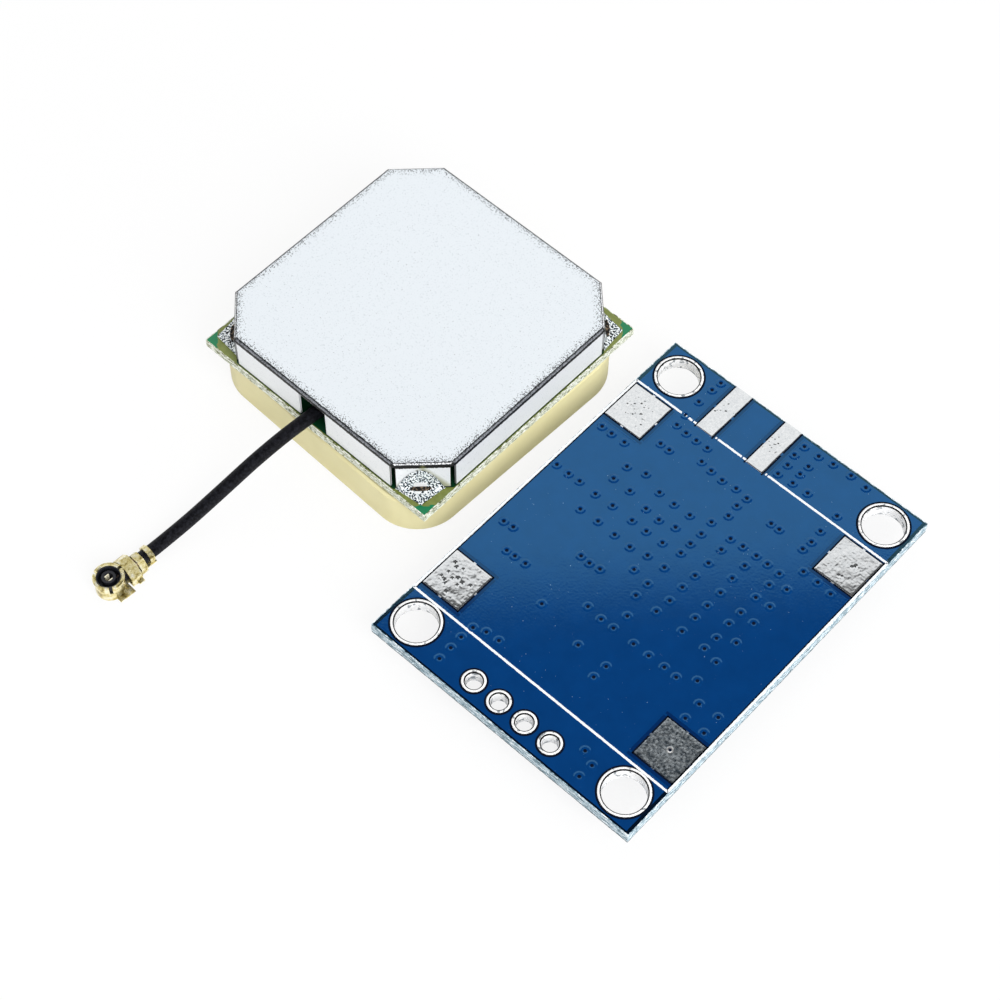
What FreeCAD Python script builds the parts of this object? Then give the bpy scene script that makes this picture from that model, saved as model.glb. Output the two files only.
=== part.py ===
import FreeCAD, Part
import math
import os
import re
import Sketcher

from FreeCAD import Placement, Rotation, Vector

# A GPS module in its two unplugged pieces: a receiver board that lies with its components
# down, and a patch antenna with a shield can and a short coax lead that ends in a small plug.
# X runs along the board's short edge, Y along its long edge towards the antenna socket, Z up.
# The origin is on the surface that everything lies on, under the middle of the board.

doc = FreeCAD.newDocument("gps_module")
sheet = doc.addObject("Spreadsheet::Sheet", "Sizes")

# Driving dimensions, in millimetres and degrees

SIZES = [
    ("board_width", 25.6, "receiver board, along X"),
    ("board_length", 35.6, "receiver board, along Y"),
    ("board_thick", 1.2, "receiver board"),
    ("pad_proud", 0.05, "how far tinned copper stands above a board"),
    ("plating_wall", 0.05, "tinned copper inside a hole"),
    ("mount_inset", 2.4, "mounting hole from both edges"),
    ("mount_hole_radius", 1.7, "mounting hole after plating"),
    ("mount_ring_radius", 2.02, "tinned ring round a mounting hole"),
    ("header_spacing", 2.54, "header hole to header hole"),
    ("header_inset", 1.65, "header row from the board's end"),
    ("header_hole_radius", 0.65, "header hole after plating"),
    ("header_ring_radius", 0.97, "tinned ring round a header hole"),
    ("corner_pad_width", 3.65, "bare corner pad, along X"),
    ("corner_pad_length", 3.85, "bare corner pad, along Y"),
    ("corner_pad_inset", 0.325, "bare corner pad from the board's long edge"),
    ("corner_pad_beyond_hole", 4.8, "middle of a corner pad from the mounting hole, along Y"),
    ("edge_pad_width", 1.62, "ground pad at the socket end, along X"),
    ("edge_pad_length", 5.1, "ground pad at the socket end, along Y"),
    ("edge_pad_pitch", 5.08, "ground pad to ground pad"),
    ("edge_pad_middle", -2.975, "X of the line between the two ground pads"),
    ("signal_land_width", 1.1, "middle land on the component side"),
    ("signal_land_length", 3.2, "middle land on the component side"),
    ("receiver_width", 12.2, "receiver's own board, along X"),
    ("receiver_length", 16.0, "receiver's own board, along Y"),
    ("receiver_board_thick", 0.8, "receiver's own board"),
    ("receiver_across", 2.9, "X of the receiver's middle"),
    ("receiver_along", -1.2, "Y of the receiver's middle"),
    ("castellation_radius", 0.25, "half hole in the receiver board's edge"),
    ("castellation_spacing", 1.1, "half hole to half hole"),
    ("shield_width", 11.0, "receiver's shield, along X"),
    ("shield_length", 15.0, "receiver's shield, along Y"),
    ("shield_height", 1.6, "receiver's shield"),
    ("shield_corner", 0.6, "receiver's shield, radius of the upright corners"),
    ("shield_edge", 0.2, "receiver's shield, drawn edge"),
    ("body_standoff", 0.15, "moulded body above the board it is soldered to"),
    ("lead_thick", 0.2, "sheet of a bent component lead"),
    ("memory_width", 3.9, "memory chip body, along X"),
    ("memory_length", 4.9, "memory chip body, along Y"),
    ("memory_height", 1.4, "memory chip body"),
    ("memory_across", -8.3, "X of the memory chip"),
    ("memory_along", -4.5, "Y of the memory chip"),
    ("memory_reach", 3.0, "tip of a memory chip lead from the chip's middle"),
    ("memory_lead_width", 0.42, "memory chip lead"),
    ("memory_lead_pitch", 1.27, "memory chip lead to lead"),
    ("regulator_width", 1.6, "regulator body, along X"),
    ("regulator_length", 2.9, "regulator body, along Y"),
    ("regulator_height", 1.1, "regulator body"),
    ("regulator_across", 6.6, "X of the regulator"),
    ("regulator_from_end", 6.6, "regulator from the board's socket end"),
    ("regulator_reach", 1.4, "tip of a regulator lead from the body's middle"),
    ("regulator_lead_width", 0.4, "regulator lead"),
    ("regulator_lead_pitch", 0.95, "regulator lead to lead"),
    ("cell_radius", 2.4, "backup cell"),
    ("cell_height", 1.4, "backup cell"),
    ("cell_lip_radius", 2.0, "backup cell, cap inside the crimped lip"),
    ("cell_lip_height", 0.25, "backup cell, height of the cap above the lip"),
    ("cell_across", -8.4, "X of the backup cell"),
    ("cell_along", 4.0, "Y of the backup cell"),
    ("tab_thick", 0.15, "backup cell's welded tabs"),
    ("tab_width", 1.8, "backup cell's welded tabs"),
    ("tab_reach", 3.5, "end of a tab from the cell's middle"),
    ("chip_length", 1.6, "chip resistor or capacitor"),
    ("chip_width", 0.8, "chip resistor or capacitor"),
    ("chip_cap_length", 0.3, "metal end of a chip part"),
    ("resistor_height", 0.45, "chip resistor"),
    ("capacitor_height", 0.8, "chip capacitor"),
    ("chip_gap", 2.0, "row of chip parts from the receiver's own board"),
    ("chip_spacing", 1.4, "grid that the chip parts are laid out on"),
    ("diode_length", 2.7, "charging diode body, along X"),
    ("diode_width", 1.6, "charging diode body, along Y"),
    ("diode_height", 1.1, "charging diode body"),
    ("diode_across", -8.4, "X of the charging diode"),
    ("diode_from_end", 8.2, "charging diode from the board's socket end"),
    ("diode_foot_length", 0.5, "part of a diode lead outside the body"),
    ("diode_foot_width", 0.6, "diode lead"),
    ("lamp_across", 10.4, "X of the status light"),
    ("lamp_from_end", 8.2, "status light from the board's socket end"),
    ("lamp_base_height", 0.25, "status light, base"),
    ("lamp_lens_height", 0.35, "status light, clear block on the base"),
    ("lamp_lens_length", 1.1, "status light, clear block"),
    ("socket_from_end", 6.9, "antenna socket from the board's socket end"),
    ("socket_base_side", 2.6, "antenna socket, moulded base"),
    ("socket_base_height", 0.35, "antenna socket, moulded base"),
    ("socket_height", 1.25, "antenna socket in all"),
    ("socket_ring_radius", 1.0, "antenna socket, outside of the ring"),
    ("socket_ring_wall", 0.12, "antenna socket, sheet of the ring"),
    ("socket_foot_reach", 1.55, "antenna socket, end of a ground foot from the middle"),
    ("socket_foot_width", 1.5, "antenna socket, ground foot"),
    ("socket_pin_radius", 0.22, "antenna socket, middle pin"),
    ("antenna_across", -27.93, "X of the antenna board's middle"),
    ("antenna_along", 3.53, "Y of the antenna board's middle"),
    ("antenna_turn", -0.49, "how far the antenna is turned against the board"),
    ("silver_thick", 0.05, "printed silver on the ceramic"),
    ("patch_side", 24.4, "ceramic block"),
    ("patch_thick", 4.0, "ceramic block"),
    ("patch_corner", 4.0, "ceramic block, radius of the upright corners"),
    ("patch_edge", 0.2, "ceramic block, edges broken by tumbling"),
    ("patch_shift_across", -0.17, "ceramic against the antenna board as glued, X"),
    ("patch_shift_along", -0.05, "ceramic against the antenna board as glued, Y"),
    ("patch_turn", -1.7, "ceramic against the antenna board as glued"),
    ("radiator_side", 20.3, "silver square on the outer face"),
    ("radiator_cut", 1.8, "silver square, cut corners"),
    ("ground_side", 23.6, "silver on the inner face"),
    ("ground_clearance_radius", 1.3, "bare ring round the feed pin"),
    ("feed_across", 0.1, "feed pin from the ceramic's middle, X"),
    ("feed_along", 2.84, "feed pin from the ceramic's middle, Y"),
    ("feed_pin_radius", 0.45, "feed pin shank"),
    ("feed_head_radius", 0.95, "feed pin head"),
    ("feed_head_thick", 0.3, "feed pin head"),
    ("feed_clearance", 0.05, "ceramic round the pin"),
    ("feed_pin_stub", 0.6, "feed pin above the antenna board"),
    ("tape_side", 21.0, "double-sided tape"),
    ("tape_thick", 0.25, "double-sided tape"),
    ("antenna_board_side", 24.45, "antenna board"),
    ("antenna_board_thick", 0.8, "antenna board"),
    ("antenna_pad_side", 2.7, "tinned corner pad on the antenna board"),
    ("antenna_pad_inset", 0.45, "tinned corner pad from the board's edges"),
    ("can_side", 24.2, "shield can, across flats"),
    ("can_chamfer", 3.35, "shield can, cut off each side at a corner"),
    ("can_height", 3.3, "shield can"),
    ("can_sheet", 0.2, "shield can, tinned steel sheet"),
    ("can_bend", 0.4, "shield can, outer radius of the folds"),
    ("can_gap", 0.4, "slit between a wall and a corner tab"),
    ("can_leg_width", 1.3, "leg of a corner tab"),
    ("can_leg_length", 0.75, "leg of a corner tab below the can"),
    ("leg_slot_width", 1.75, "slot for a leg"),
    ("leg_slot_gap", 0.42, "slot for a leg, across"),
    ("notch_width", 2.9, "opening for the lead in the can's wall"),
    ("notch_lip", 0.45, "what stays above that opening"),
    ("solder_height", 2.45, "solder climbing a corner tab"),
    ("solder_foot", 3.4, "solder on a corner tab, across its foot"),
    ("solder_shoulder", 2.2, "solder on a corner tab, across its shoulders"),
    ("shoulder_height", 1.7, "solder on a corner tab, up to its shoulders"),
    ("amplifier_length", 2.0, "amplifier chip"),
    ("amplifier_width", 1.25, "amplifier chip"),
    ("amplifier_height", 0.9, "amplifier chip"),
    ("amplifier_lead_width", 0.35, "amplifier chip, lead"),
    ("amplifier_lead_reach", 0.4, "amplifier chip, lead outside the body"),
    ("saw_side", 3.0, "filter in the can"),
    ("saw_height", 1.1, "filter in the can"),
    ("coax_radius", 0.565, "lead, outside of the jacket"),
    ("braid_radius", 0.43, "lead, braid"),
    ("dielectric_radius", 0.33, "lead, insulation round the core"),
    ("core_radius", 0.12, "lead, core"),
    ("strip_length", 1.0, "lead, each stripped layer"),
    ("lead_straight", 1.6, "lead, straight stretch behind the plug"),
    ("jacket_end", 3.15, "lead, end of the jacket from the middle of the plug's ring"),
    ("plug_across", -31.557, "X of the plug's ring"),
    ("plug_along", -27.886, "Y of the plug's ring"),
    ("plug_turn", -3.46, "how far the plug is turned against the board"),
    ("plug_height", 1.77, "plug, back to rim"),
    ("plug_sheet", 0.12, "plug, bronze sheet"),
    ("plug_cup_radius", 1.2, "plug, outside of the cup"),
    ("plug_rim_radius", 1.27, "plug, outside of the rolled rim"),
    ("plug_rim_grip", 0.02, "how far the sprung rim closes on the socket's ring"),
    ("plug_rim_depth", 0.24, "plug, depth of the rolled rim"),
    ("plug_rim_bevel", 0.08, "plug, rounding of the rolled rim"),
    ("plug_tail", 0.1, "plug, strip beyond the crimp on the jacket"),
    ("plug_slit_width", 0.26, "plug, slit that lets the rim spring"),
    ("plug_slit_depth", 0.8, "plug, slit that lets the rim spring"),
    ("plug_ear_reach", 1.62, "plug, side ears from the middle"),
    ("plug_ear_length", 1.45, "plug, side ears"),
    ("plug_ear_back", 0.3, "plug, side ears behind the middle"),
    ("plug_strip_width", 1.3, "plug, strip under the lead"),
    ("plug_wing_width", 2.4, "plug, folded wings over the neck"),
    ("plug_wing_height", 1.6, "plug, folded wings over the neck"),
    ("plug_wing_start", 1.3, "plug, folded wings from the ring's middle"),
    ("plug_wing_end", 2.3, "plug, folded wings from the ring's middle"),
    ("braid_crimp_start", 2.5, "plug, crimp on the braid"),
    ("braid_crimp_end", 3.1, "plug, crimp on the braid"),
    ("jacket_crimp_start", 3.55, "plug, crimp on the jacket"),
    ("jacket_crimp_end", 4.0, "plug, crimp on the jacket"),
    ("plug_flange_width", 2.75, "plug, flat under the far half of the wings"),
    ("lead_rise", 0.01, "lead's jacket above the plug's strip"),
    ("throat_width", 0.9, "plug, opening in the cup for the insert's neck"),
    ("throat_height", 1.0, "plug, opening in the cup for the insert's neck"),
    ("insert_gap", 0.02, "plug, moulded insert inside the cup and its throat"),
    ("insert_drop", 0.15, "plug, middle boss of the insert below the rim"),
    ("insert_boss_radius", 0.57, "plug, middle boss of the insert"),
    ("insert_bore", 0.37, "plug, hole in the boss"),
    ("insert_neck_start", 1.0, "plug, insert's neck from the ring's middle"),
    ("insert_neck_end", 2.1, "plug, insert's neck from the ring's middle"),
    ("contact_thick", 0.1, "plug, contact bar"),
    ("contact_length", 0.4, "plug, contact bar"),
    ("contact_drop", 0.25, "plug, tip of a contact bar below the rim"),
]

ALIASES = set()
for row, (alias, value, meaning) in enumerate(SIZES, start=1):
    sheet.set("A%d" % row, meaning)
    sheet.set("B%d" % row, str(value))
    sheet.setAlias("B%d" % row, alias)
    ALIASES.add(alias)
doc.recompute()

NODES = []


# Formulas, and where a piece stands

def formula(text):
    """A formula in which each alias refers to the sheet."""
    return re.sub("[a-z_]+", lambda word: "Sizes." + word.group()
                  if word.group() in ALIASES else word.group(), str(text))


def size(alias):
    """The number that a cell of the sheet holds."""
    return float(sheet.get(alias))


def bind(item, **formulas):
    """Tie properties of an item to formulas."""
    for name, text in formulas.items():
        item.setExpression(name, formula(text))


def stand(item, x=0, y=0, z=0, turn=0):
    """Tie an item's place to formulas, turned about Z."""
    for path, text in (("Base.x", x), ("Base.y", y), ("Base.z", z), ("Rotation.Angle", turn)):
        item.setExpression("Placement." + path, formula(text))


def node(item, label):
    """Give a finished sub-part its name."""
    item.Label = label
    NODES.append(item)
    return item


# Heights of the layers, as formulas

BOARD_UNDER = "(receiver_board_thick + shield_height)"
BOARD_TOP = "(receiver_board_thick + shield_height + board_thick)"
PATCH_TOP = "(silver_thick + patch_thick)"
TAPE_UNDER = "(2 * silver_thick + patch_thick)"
ANTENNA_UNDER = "(2 * silver_thick + patch_thick + tape_thick)"
ANTENNA_TOP = "(2 * silver_thick + patch_thick + tape_thick + antenna_board_thick)"
ON_ANTENNA_PADS = "(%s + pad_proud)" % ANTENNA_TOP
ANTENNA = {"x": "antenna_across", "y": "antenna_along", "turn": "antenna_turn"}
PATCH = {
    "x": "antenna_across + patch_shift_across",
    "y": "antenna_along + patch_shift_along",
    "turn": "antenna_turn + patch_turn",
}
PLUG = {"x": "plug_across", "y": "plug_along", "turn": "plug_turn"}
LEAD_LEVEL = "(plug_sheet + lead_rise + coax_radius)"


# Part primitives and booleans

def block(name, length, width, height, x=0, y=0, z=0, turn=0):
    """A box with its middle at x, y and its foot at z, turned by a fixed number of degrees."""
    box = doc.addObject("Part::Box", name)
    bind(box, Length=length, Width=width, Height=height)
    cosine = math.cos(math.radians(turn)) / 2
    sine = math.sin(math.radians(turn)) / 2
    corner_x = "%s - (%s) * %.9f + (%s) * %.9f" % (x, length, cosine, width, sine)
    corner_y = "%s - (%s) * %.9f - (%s) * %.9f" % (y, length, sine, width, cosine)
    stand(box, corner_x, corner_y, z, turn)
    return box


def rod(name, radius, height, x=0, y=0, z=0):
    """An upright cylinder."""
    cylinder = doc.addObject("Part::Cylinder", name)
    bind(cylinder, Radius=radius, Height=height)
    stand(cylinder, x, y, z)
    return cylinder


def fuse(name, pieces):
    """One solid of several pieces."""
    whole = doc.addObject("Part::MultiFuse", name)
    whole.Shapes = pieces
    whole.Refine = True
    return whole


def cut(name, base, tool):
    """A piece less another."""
    result = doc.addObject("Part::Cut", name)
    result.Base = base
    result.Tool = tool
    return result


def group(name, pieces):
    """Separate solids that share a node."""
    compound = doc.addObject("Part::Compound", name)
    compound.Links = pieces
    return compound


def shaped(name, shape, place=None):
    """A feature whose shape is worked out in code."""
    feature = doc.addObject("Part::Feature", name)
    feature.Shape = shape
    if place is not None:
        feature.Placement = place
    return feature


# PartDesign bodies and sketches

def new_body(name):
    """An empty body."""
    return doc.addObject("PartDesign::Body", name)


def new_sketch(body, name, role="XY_Plane", lift="0"):
    """A sketch on one of a body's origin planes, lifted along the plane's normal."""
    sketch = body.newObject("Sketcher::SketchObject", name)
    plane = [item for item in body.Origin.OriginFeatures if item.Role == role][0]
    sketch.AttachmentSupport = [(plane, "")]
    sketch.MapMode = "FlatFace"
    sketch.setExpression("AttachmentOffset.Base.z", formula(lift))
    return sketch


def hold(sketch, index, point, x, y):
    """Tie a sketch point to the origin by two formulas."""
    for kind, text, axis in (("DistanceX", x, -2), ("DistanceY", y, -1)):
        if str(text) in ("0", "0.0"):
            sketch.addConstraint(Sketcher.Constraint("PointOnObject", index, point, axis))
            continue
        constraint = Sketcher.Constraint(kind, -1, 1, index, point, 1.0)
        number = sketch.addConstraint(constraint)
        sketch.setExpression("Constraints[%d]" % number, formula(text))


def add_polygon(sketch, corners):
    """A closed outline with each corner tied to the origin."""
    first = sketch.GeometryCount
    count = len(corners)
    rough = [Vector(math.cos(step * math.tau / count), math.sin(step * math.tau / count))
             for step in range(count)]
    lines = [Part.LineSegment(rough[step], rough[(step + 1) % count]) for step in range(count)]
    sketch.addGeometry(lines, False)
    for step in range(count):
        follower = first + (step + 1) % count
        sketch.addConstraint(Sketcher.Constraint("Coincident", first + step, 2, follower, 1))
    for step, (x, y) in enumerate(corners):
        hold(sketch, first + step, 1, x, y)


def add_circle(sketch, radius, x=0, y=0):
    """A circle with its centre tied to the origin."""
    index = sketch.addGeometry(Part.Circle(Vector(1, 1), Vector(0, 0, 1), 1.0), False)
    number = sketch.addConstraint(Sketcher.Constraint("Radius", index, 1.0))
    sketch.setExpression("Constraints[%d]" % number, formula(radius))
    hold(sketch, index, 3, x, y)


def rectangle(width, length, x="0", y="0"):
    """The corners of a rectangle about x, y."""
    return [("%s + %s * (%s) / 2" % (x, across, width), "%s + %s * (%s) / 2" % (y, along, length))
            for across, along in ((-1, -1), (1, -1), (1, 1), (-1, 1))]


def octagon(side, cut_back):
    """The corners of a square with its corners cut off at 45 degrees."""
    flat = "(%s) / 2" % side
    short = "((%s) / 2 - (%s))" % (side, cut_back)
    return [(short, "-" + flat), (flat, "-" + short), (flat, short), (short, flat),
            ("-" + short, flat), ("-" + flat, short), ("-" + flat, "-" + short),
            ("-" + short, "-" + flat)]


def slanted(distance, length, width, across, along):
    """A rectangle on a diagonal, square to it, with its middle a distance from the origin."""
    corners = []
    for end, side in ((-1, -1), (1, -1), (1, 1), (-1, 1)):
        out = "((%s) + %s * (%s) / 2)" % (distance, side, width)
        sideways = "(%s * (%s) / 2)" % (end, length)
        corners.append(("%s * (%s - %s) / sqrt(2)" % (across, out, sideways),
                        "%s * (%s + %s) / sqrt(2)" % (along, out, sideways)))
    return corners


def pad(body, sketch, length, reverse=False):
    """Raise a sketch into a solid."""
    feature = body.newObject("PartDesign::Pad", sketch.Name + "_pad")
    feature.Profile = sketch
    bind(feature, Length=length)
    feature.Reversed = reverse
    return feature


def pocket(body, sketch, length):
    """Cut a sketch out upwards."""
    feature = body.newObject("PartDesign::Pocket", sketch.Name + "_pocket")
    feature.Profile = sketch
    feature.Reversed = True
    bind(feature, Length=length)
    return feature


def edges_where(shape, wanted):
    """The names of the edges that pass a test."""
    return ["Edge%d" % (index + 1) for index, edge in enumerate(shape.Edges) if wanted(edge)]


def is_upright(edge):
    """True for a straight edge along Z."""
    low, high = edge.Vertexes[0].Point, edge.Vertexes[-1].Point
    return abs(high.z - low.z) > 1e-6 and math.hypot(high.x - low.x, high.y - low.y) < 1e-6


def is_level_at(height):
    """A test for edges that lie flat at a height."""
    return lambda edge: all(abs(point.Z - height) < 1e-6 for point in edge.Vertexes)


def round_edges(body, base, name, radius, wanted):
    """Round the edges that pass a test."""
    doc.recompute()
    feature = body.newObject("PartDesign::Fillet", name)
    feature.Base = (base, edges_where(base.Shape, wanted))
    bind(feature, Radius=radius)
    return feature


def bevel_edges(body, base, name, width, wanted):
    """Break the edges that pass a test."""
    doc.recompute()
    feature = body.newObject("PartDesign::Chamfer", name)
    feature.Base = (base, edges_where(base.Shape, wanted))
    bind(feature, Size=width)
    return feature


def plate(label, corners, thickness, place, circles=(), holes=(), corner=None):
    """A flat piece with round and straight-sided holes, and rounded corners if asked."""
    body = new_body(label + "_body")
    sketch = new_sketch(body, label + "_outline")
    add_polygon(sketch, corners)
    for radius, x, y in circles:
        add_circle(sketch, radius, x, y)
    for hole in holes:
        add_polygon(sketch, hole)
    solid = pad(body, sketch, thickness)
    if corner is not None:
        outer = [(abs(size_of(x)), abs(size_of(y))) for x, y in corners]
        round_edges(body, solid, label + "_corners", corner,
                    lambda edge: is_upright(edge) and near_any(edge.Vertexes[0], outer))
    stand(body, **place)
    return node(body, label)


def size_of(text):
    """The number that a formula comes to."""
    probe = doc.addObject("App::FeaturePython", "probe")
    probe.addProperty("App::PropertyFloat", "Value")
    probe.setExpression("Value", formula(text))
    probe.recompute()
    number = probe.Value
    doc.removeObject(probe.Name)
    return number


def near_any(vertex, places):
    """True where a vertex stands at one of the places, whatever their signs."""
    return any(abs(abs(vertex.X) - x) < 1e-6 and abs(abs(vertex.Y) - y) < 1e-6
               for x, y in places)


# Main board

def mounting_holes():
    """The centres of the four corner holes."""
    return [("%s * (board_width / 2 - mount_inset)" % across,
             "%s * (board_length / 2 - mount_inset)" % along)
            for across in (-1, 1) for along in (-1, 1)]


def header_holes():
    """The centres of the four holes for a pin header."""
    return [("%s * header_spacing" % step, "header_inset - board_length / 2")
            for step in (-1.5, -0.5, 0.5, 1.5)]


def main_board():
    """The blue board with its drilled holes."""
    circles = [("mount_hole_radius + plating_wall", x, y) for x, y in mounting_holes()]
    circles += [("header_hole_radius + plating_wall", x, y) for x, y in header_holes()]
    plate("main_board", rectangle("board_width", "board_length"), "board_thick",
          {"z": BOARD_UNDER}, circles=circles)


def eyelets(label, centres, hole_radius, ring_radius):
    """Plated holes: a thin barrel with a ring on each face."""
    pieces = []
    for index, (x, y) in enumerate(centres):
        name = "%s_%d" % (label, index)
        barrel = rod(name + "_barrel", hole_radius + " + plating_wall", "board_thick",
                     x, y, BOARD_UNDER)
        upper = rod(name + "_upper", ring_radius, "pad_proud", x, y, BOARD_TOP)
        lower = rod(name + "_lower", ring_radius, "pad_proud", x, y, BOARD_UNDER + " - pad_proud")
        bore = rod(name + "_bore", hole_radius, "board_thick + 4 * pad_proud", x, y,
                   BOARD_UNDER + " - 2 * pad_proud")
        pieces.append(cut(name, fuse(name + "_outside", [barrel, upper, lower]), bore))
    node(group(label + "_group", pieces), label)


def bare_pads():
    """Tinned pads: four at the corners, and the lands for an edge socket on both faces."""
    out = "(board_width / 2 - corner_pad_inset - corner_pad_width / 2)"
    up = "(board_length / 2 - mount_inset - corner_pad_beyond_hole)"
    corners = [block("corner_pad", "corner_pad_width", "corner_pad_length", "pad_proud",
                     "%s * %s" % (across, out), "%s * %s" % (along, up), BOARD_TOP)
               for across in (-1, 1) for along in (-1, 1)]
    node(group("corner_pads_group", corners), "corner_pads")
    beside = ["edge_pad_middle + %s * edge_pad_pitch / 2" % side for side in (-1, 1)]
    at_end = "board_length / 2 - edge_pad_length / 2"
    upper = [block("edge_pad", "edge_pad_width", "edge_pad_length", "pad_proud", x, at_end,
                   BOARD_TOP) for x in beside]
    node(group("edge_pads_group", upper), "edge_pads")
    under = BOARD_UNDER + " - pad_proud"
    lower = [block("edge_land", "edge_pad_width", "edge_pad_length", "pad_proud", x, at_end,
                   under) for x in beside]
    lower.append(block("signal_land", "signal_land_width", "signal_land_length", "pad_proud",
                       "edge_pad_middle", "board_length / 2 - signal_land_length / 2", under))
    node(group("edge_lands_group", lower), "edge_lands")


# Receiver, the part that the board rests on

def half_hole(side, along):
    """A cut with slanted ends for a half hole in a side edge, closed just outside the board."""
    edge = "(receiver_width / 2)"
    return [("%s * (%s)" % (side, reach), "%s + %s * castellation_radius" % (along, step))
            for reach, step in ((edge + " + castellation_radius", -1), (edge, -1),
                                (edge + " - 0.9 * castellation_radius", -0.5),
                                (edge + " - 0.9 * castellation_radius", 0.5),
                                (edge, 1), (edge + " + castellation_radius", 1))]


def receiver():
    """The receiver's own board with half holes along its sides, and its shield."""
    body = new_body("receiver_board_body")
    sketch = new_sketch(body, "receiver_board_outline")
    add_polygon(sketch, rectangle("receiver_width", "receiver_length"))
    pad(body, sketch, "receiver_board_thick")
    for name, first, count in (("long_row", -6, 7), ("short_row", 2, 5)):
        halves = new_sketch(body, "castellations_" + name)
        for side in (-1, 1):
            add_polygon(halves, half_hole(side, "%s * castellation_spacing" % first))
        pair = pocket(body, halves, "receiver_board_thick")
        doc.recompute()
        row = body.newObject("PartDesign::LinearPattern", name)
        row.Originals = [pair]
        row.Direction = (halves, ["V_Axis"])
        bind(row, Length="%d * castellation_spacing" % (count - 1))
        row.Occurrences = count
        body.Tip = row
        doc.recompute()
    stand(body, "receiver_across", "receiver_along", "shield_height")
    node(body, "receiver_board")
    shield = new_body("receiver_shield_body")
    outline = new_sketch(shield, "receiver_shield_outline")
    add_polygon(outline, rectangle("shield_width", "shield_length"))
    solid = pad(shield, outline, "shield_height")
    corners = round_edges(shield, solid, "receiver_shield_corners", "shield_corner", is_upright)
    bevel_edges(shield, corners, "receiver_shield_edge", "shield_edge", is_level_at(0.0))
    stand(shield, "receiver_across", "receiver_along", "0")
    node(shield, "receiver_shield")


# Small parts on the component side

def gull_wing(side, reach, start, level, width, along):
    """A bent lead from a body's side at a level down to the board, which lies above it."""
    sheet_thick = size("lead_thick")
    board = size("receiver_board_thick") + size("shield_height")
    knee = start + (reach - start) * 0.35
    heel = start + (reach - start) * 0.45
    profile = [
        (start, level), (knee, level), (heel, board - sheet_thick), (reach, board - sheet_thick),
        (reach, board), (heel - sheet_thick / 2, board),
        (knee - sheet_thick / 2, level + sheet_thick), (start, level + sheet_thick),
    ]
    points = [Vector(side * x, along - width / 2, z) for x, z in profile]
    face = Part.Face(Part.makePolygon(points + points[:1]))
    return face.extrude(Vector(0, width, 0))


def leaded_chip(name, along, rows):
    """A moulded body on bent leads, rows giving the lead places on each side."""
    width, length, height = size(name + "_width"), size(name + "_length"), size(name + "_height")
    body = new_body(name + "_solid")
    sketch = new_sketch(body, name + "_outline")
    add_polygon(sketch, rectangle(name + "_width", name + "_length"))
    solid = pad(body, sketch, name + "_height")
    bevel_edges(body, solid, name + "_bevel", name + "_height / 8", is_level_at(0.0))
    stand(body, name + "_across", along,
          "%s - body_standoff - %s_height" % (BOARD_UNDER, name))
    node(body, name + "_body")
    board = size("receiver_board_thick") + size("shield_height")
    level = board - size("body_standoff") - height / 2
    pitch = size(name + "_lead_pitch")
    leads = [gull_wing(side, size(name + "_reach"), width / 2, level,
                       size(name + "_lead_width"), step * pitch)
             for side, steps in rows for step in steps]
    place = Placement(Vector(size(name + "_across"), size_of(along), 0), Rotation())
    node(shaped(name + "_lead_set", Part.makeCompound(leads), place), name + "_leads")


def backup_cell():
    """A small coin cell with two welded tabs, one flat on the board and one bent over."""
    body = new_body("backup_cell_body")
    profile = new_sketch(body, "backup_cell_profile", "XZ_Plane")
    add_polygon(profile, [("0", "0"), ("cell_lip_radius", "0"),
                          ("cell_lip_radius", "cell_lip_height"),
                          ("cell_radius", "cell_lip_height"), ("cell_radius", "cell_height"),
                          ("0", "cell_height")])
    turned = body.newObject("PartDesign::Revolution", "backup_cell_turned")
    turned.Profile = profile
    turned.ReferenceAxis = (profile, ["V_Axis"])
    turned.Angle = 360
    stand(body, "cell_across", "cell_along", "%s - tab_thick - cell_height" % BOARD_UNDER)
    node(body, "backup_cell")
    board = size("receiver_board_thick") + size("shield_height")
    thick, width, reach = size("tab_thick"), size("tab_width"), size("tab_reach")
    outer_face = board - thick - size("cell_height")
    rim = size("cell_radius")
    flat = Part.makeBox(width, rim + reach, thick, Vector(-width / 2, -rim, board - thick))
    bent_profile = [
        (-rim, outer_face), (-rim, outer_face - thick), (rim + 2 * thick, outer_face - thick),
        (rim + 2 * thick, board - thick), (reach, board - thick), (reach, board),
        (rim + thick, board), (rim + thick, outer_face),
    ]
    points = [Vector(-width / 2, -y, z) for y, z in bent_profile]
    bent = Part.Face(Part.makePolygon(points + points[:1])).extrude(Vector(width, 0, 0))
    flat = flat.cut(bent)
    place = Placement(Vector(size("cell_across"), size("cell_along"), 0), Rotation())
    node(shaped("cell_tab_set", Part.makeCompound([flat, bent]), place), "cell_tabs")


def chip_parts(places, height, under):
    """Bodies and metal ends of a row of chip parts, each place being x, y and upright or not."""
    bodies, ends = [], []
    for x, y, upright in places:
        turn = 90 if upright else 0
        along = (0, 1) if upright else (1, 0)
        bodies.append(block("chip_body", "chip_length - 2 * chip_cap_length", "chip_width",
                            height, x, y, under, turn))
        for side in (-1, 1):
            shift = "%s * (chip_length - chip_cap_length) / 2" % side
            ends.append(block("chip_end", "chip_cap_length", "chip_width", height,
                              "%s + %s * %s" % (x, along[0], shift),
                              "%s + %s * %s" % (y, along[1], shift), under, turn))
    return bodies, ends


def from_end(name):
    """Y of a part that is placed from the board's socket end."""
    return "(board_length / 2 - %s_from_end)" % name


def on_grid(start, steps):
    """A place that lies a number of grid steps from another."""
    return "(%s + %s * chip_spacing)" % (start, steps)


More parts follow.
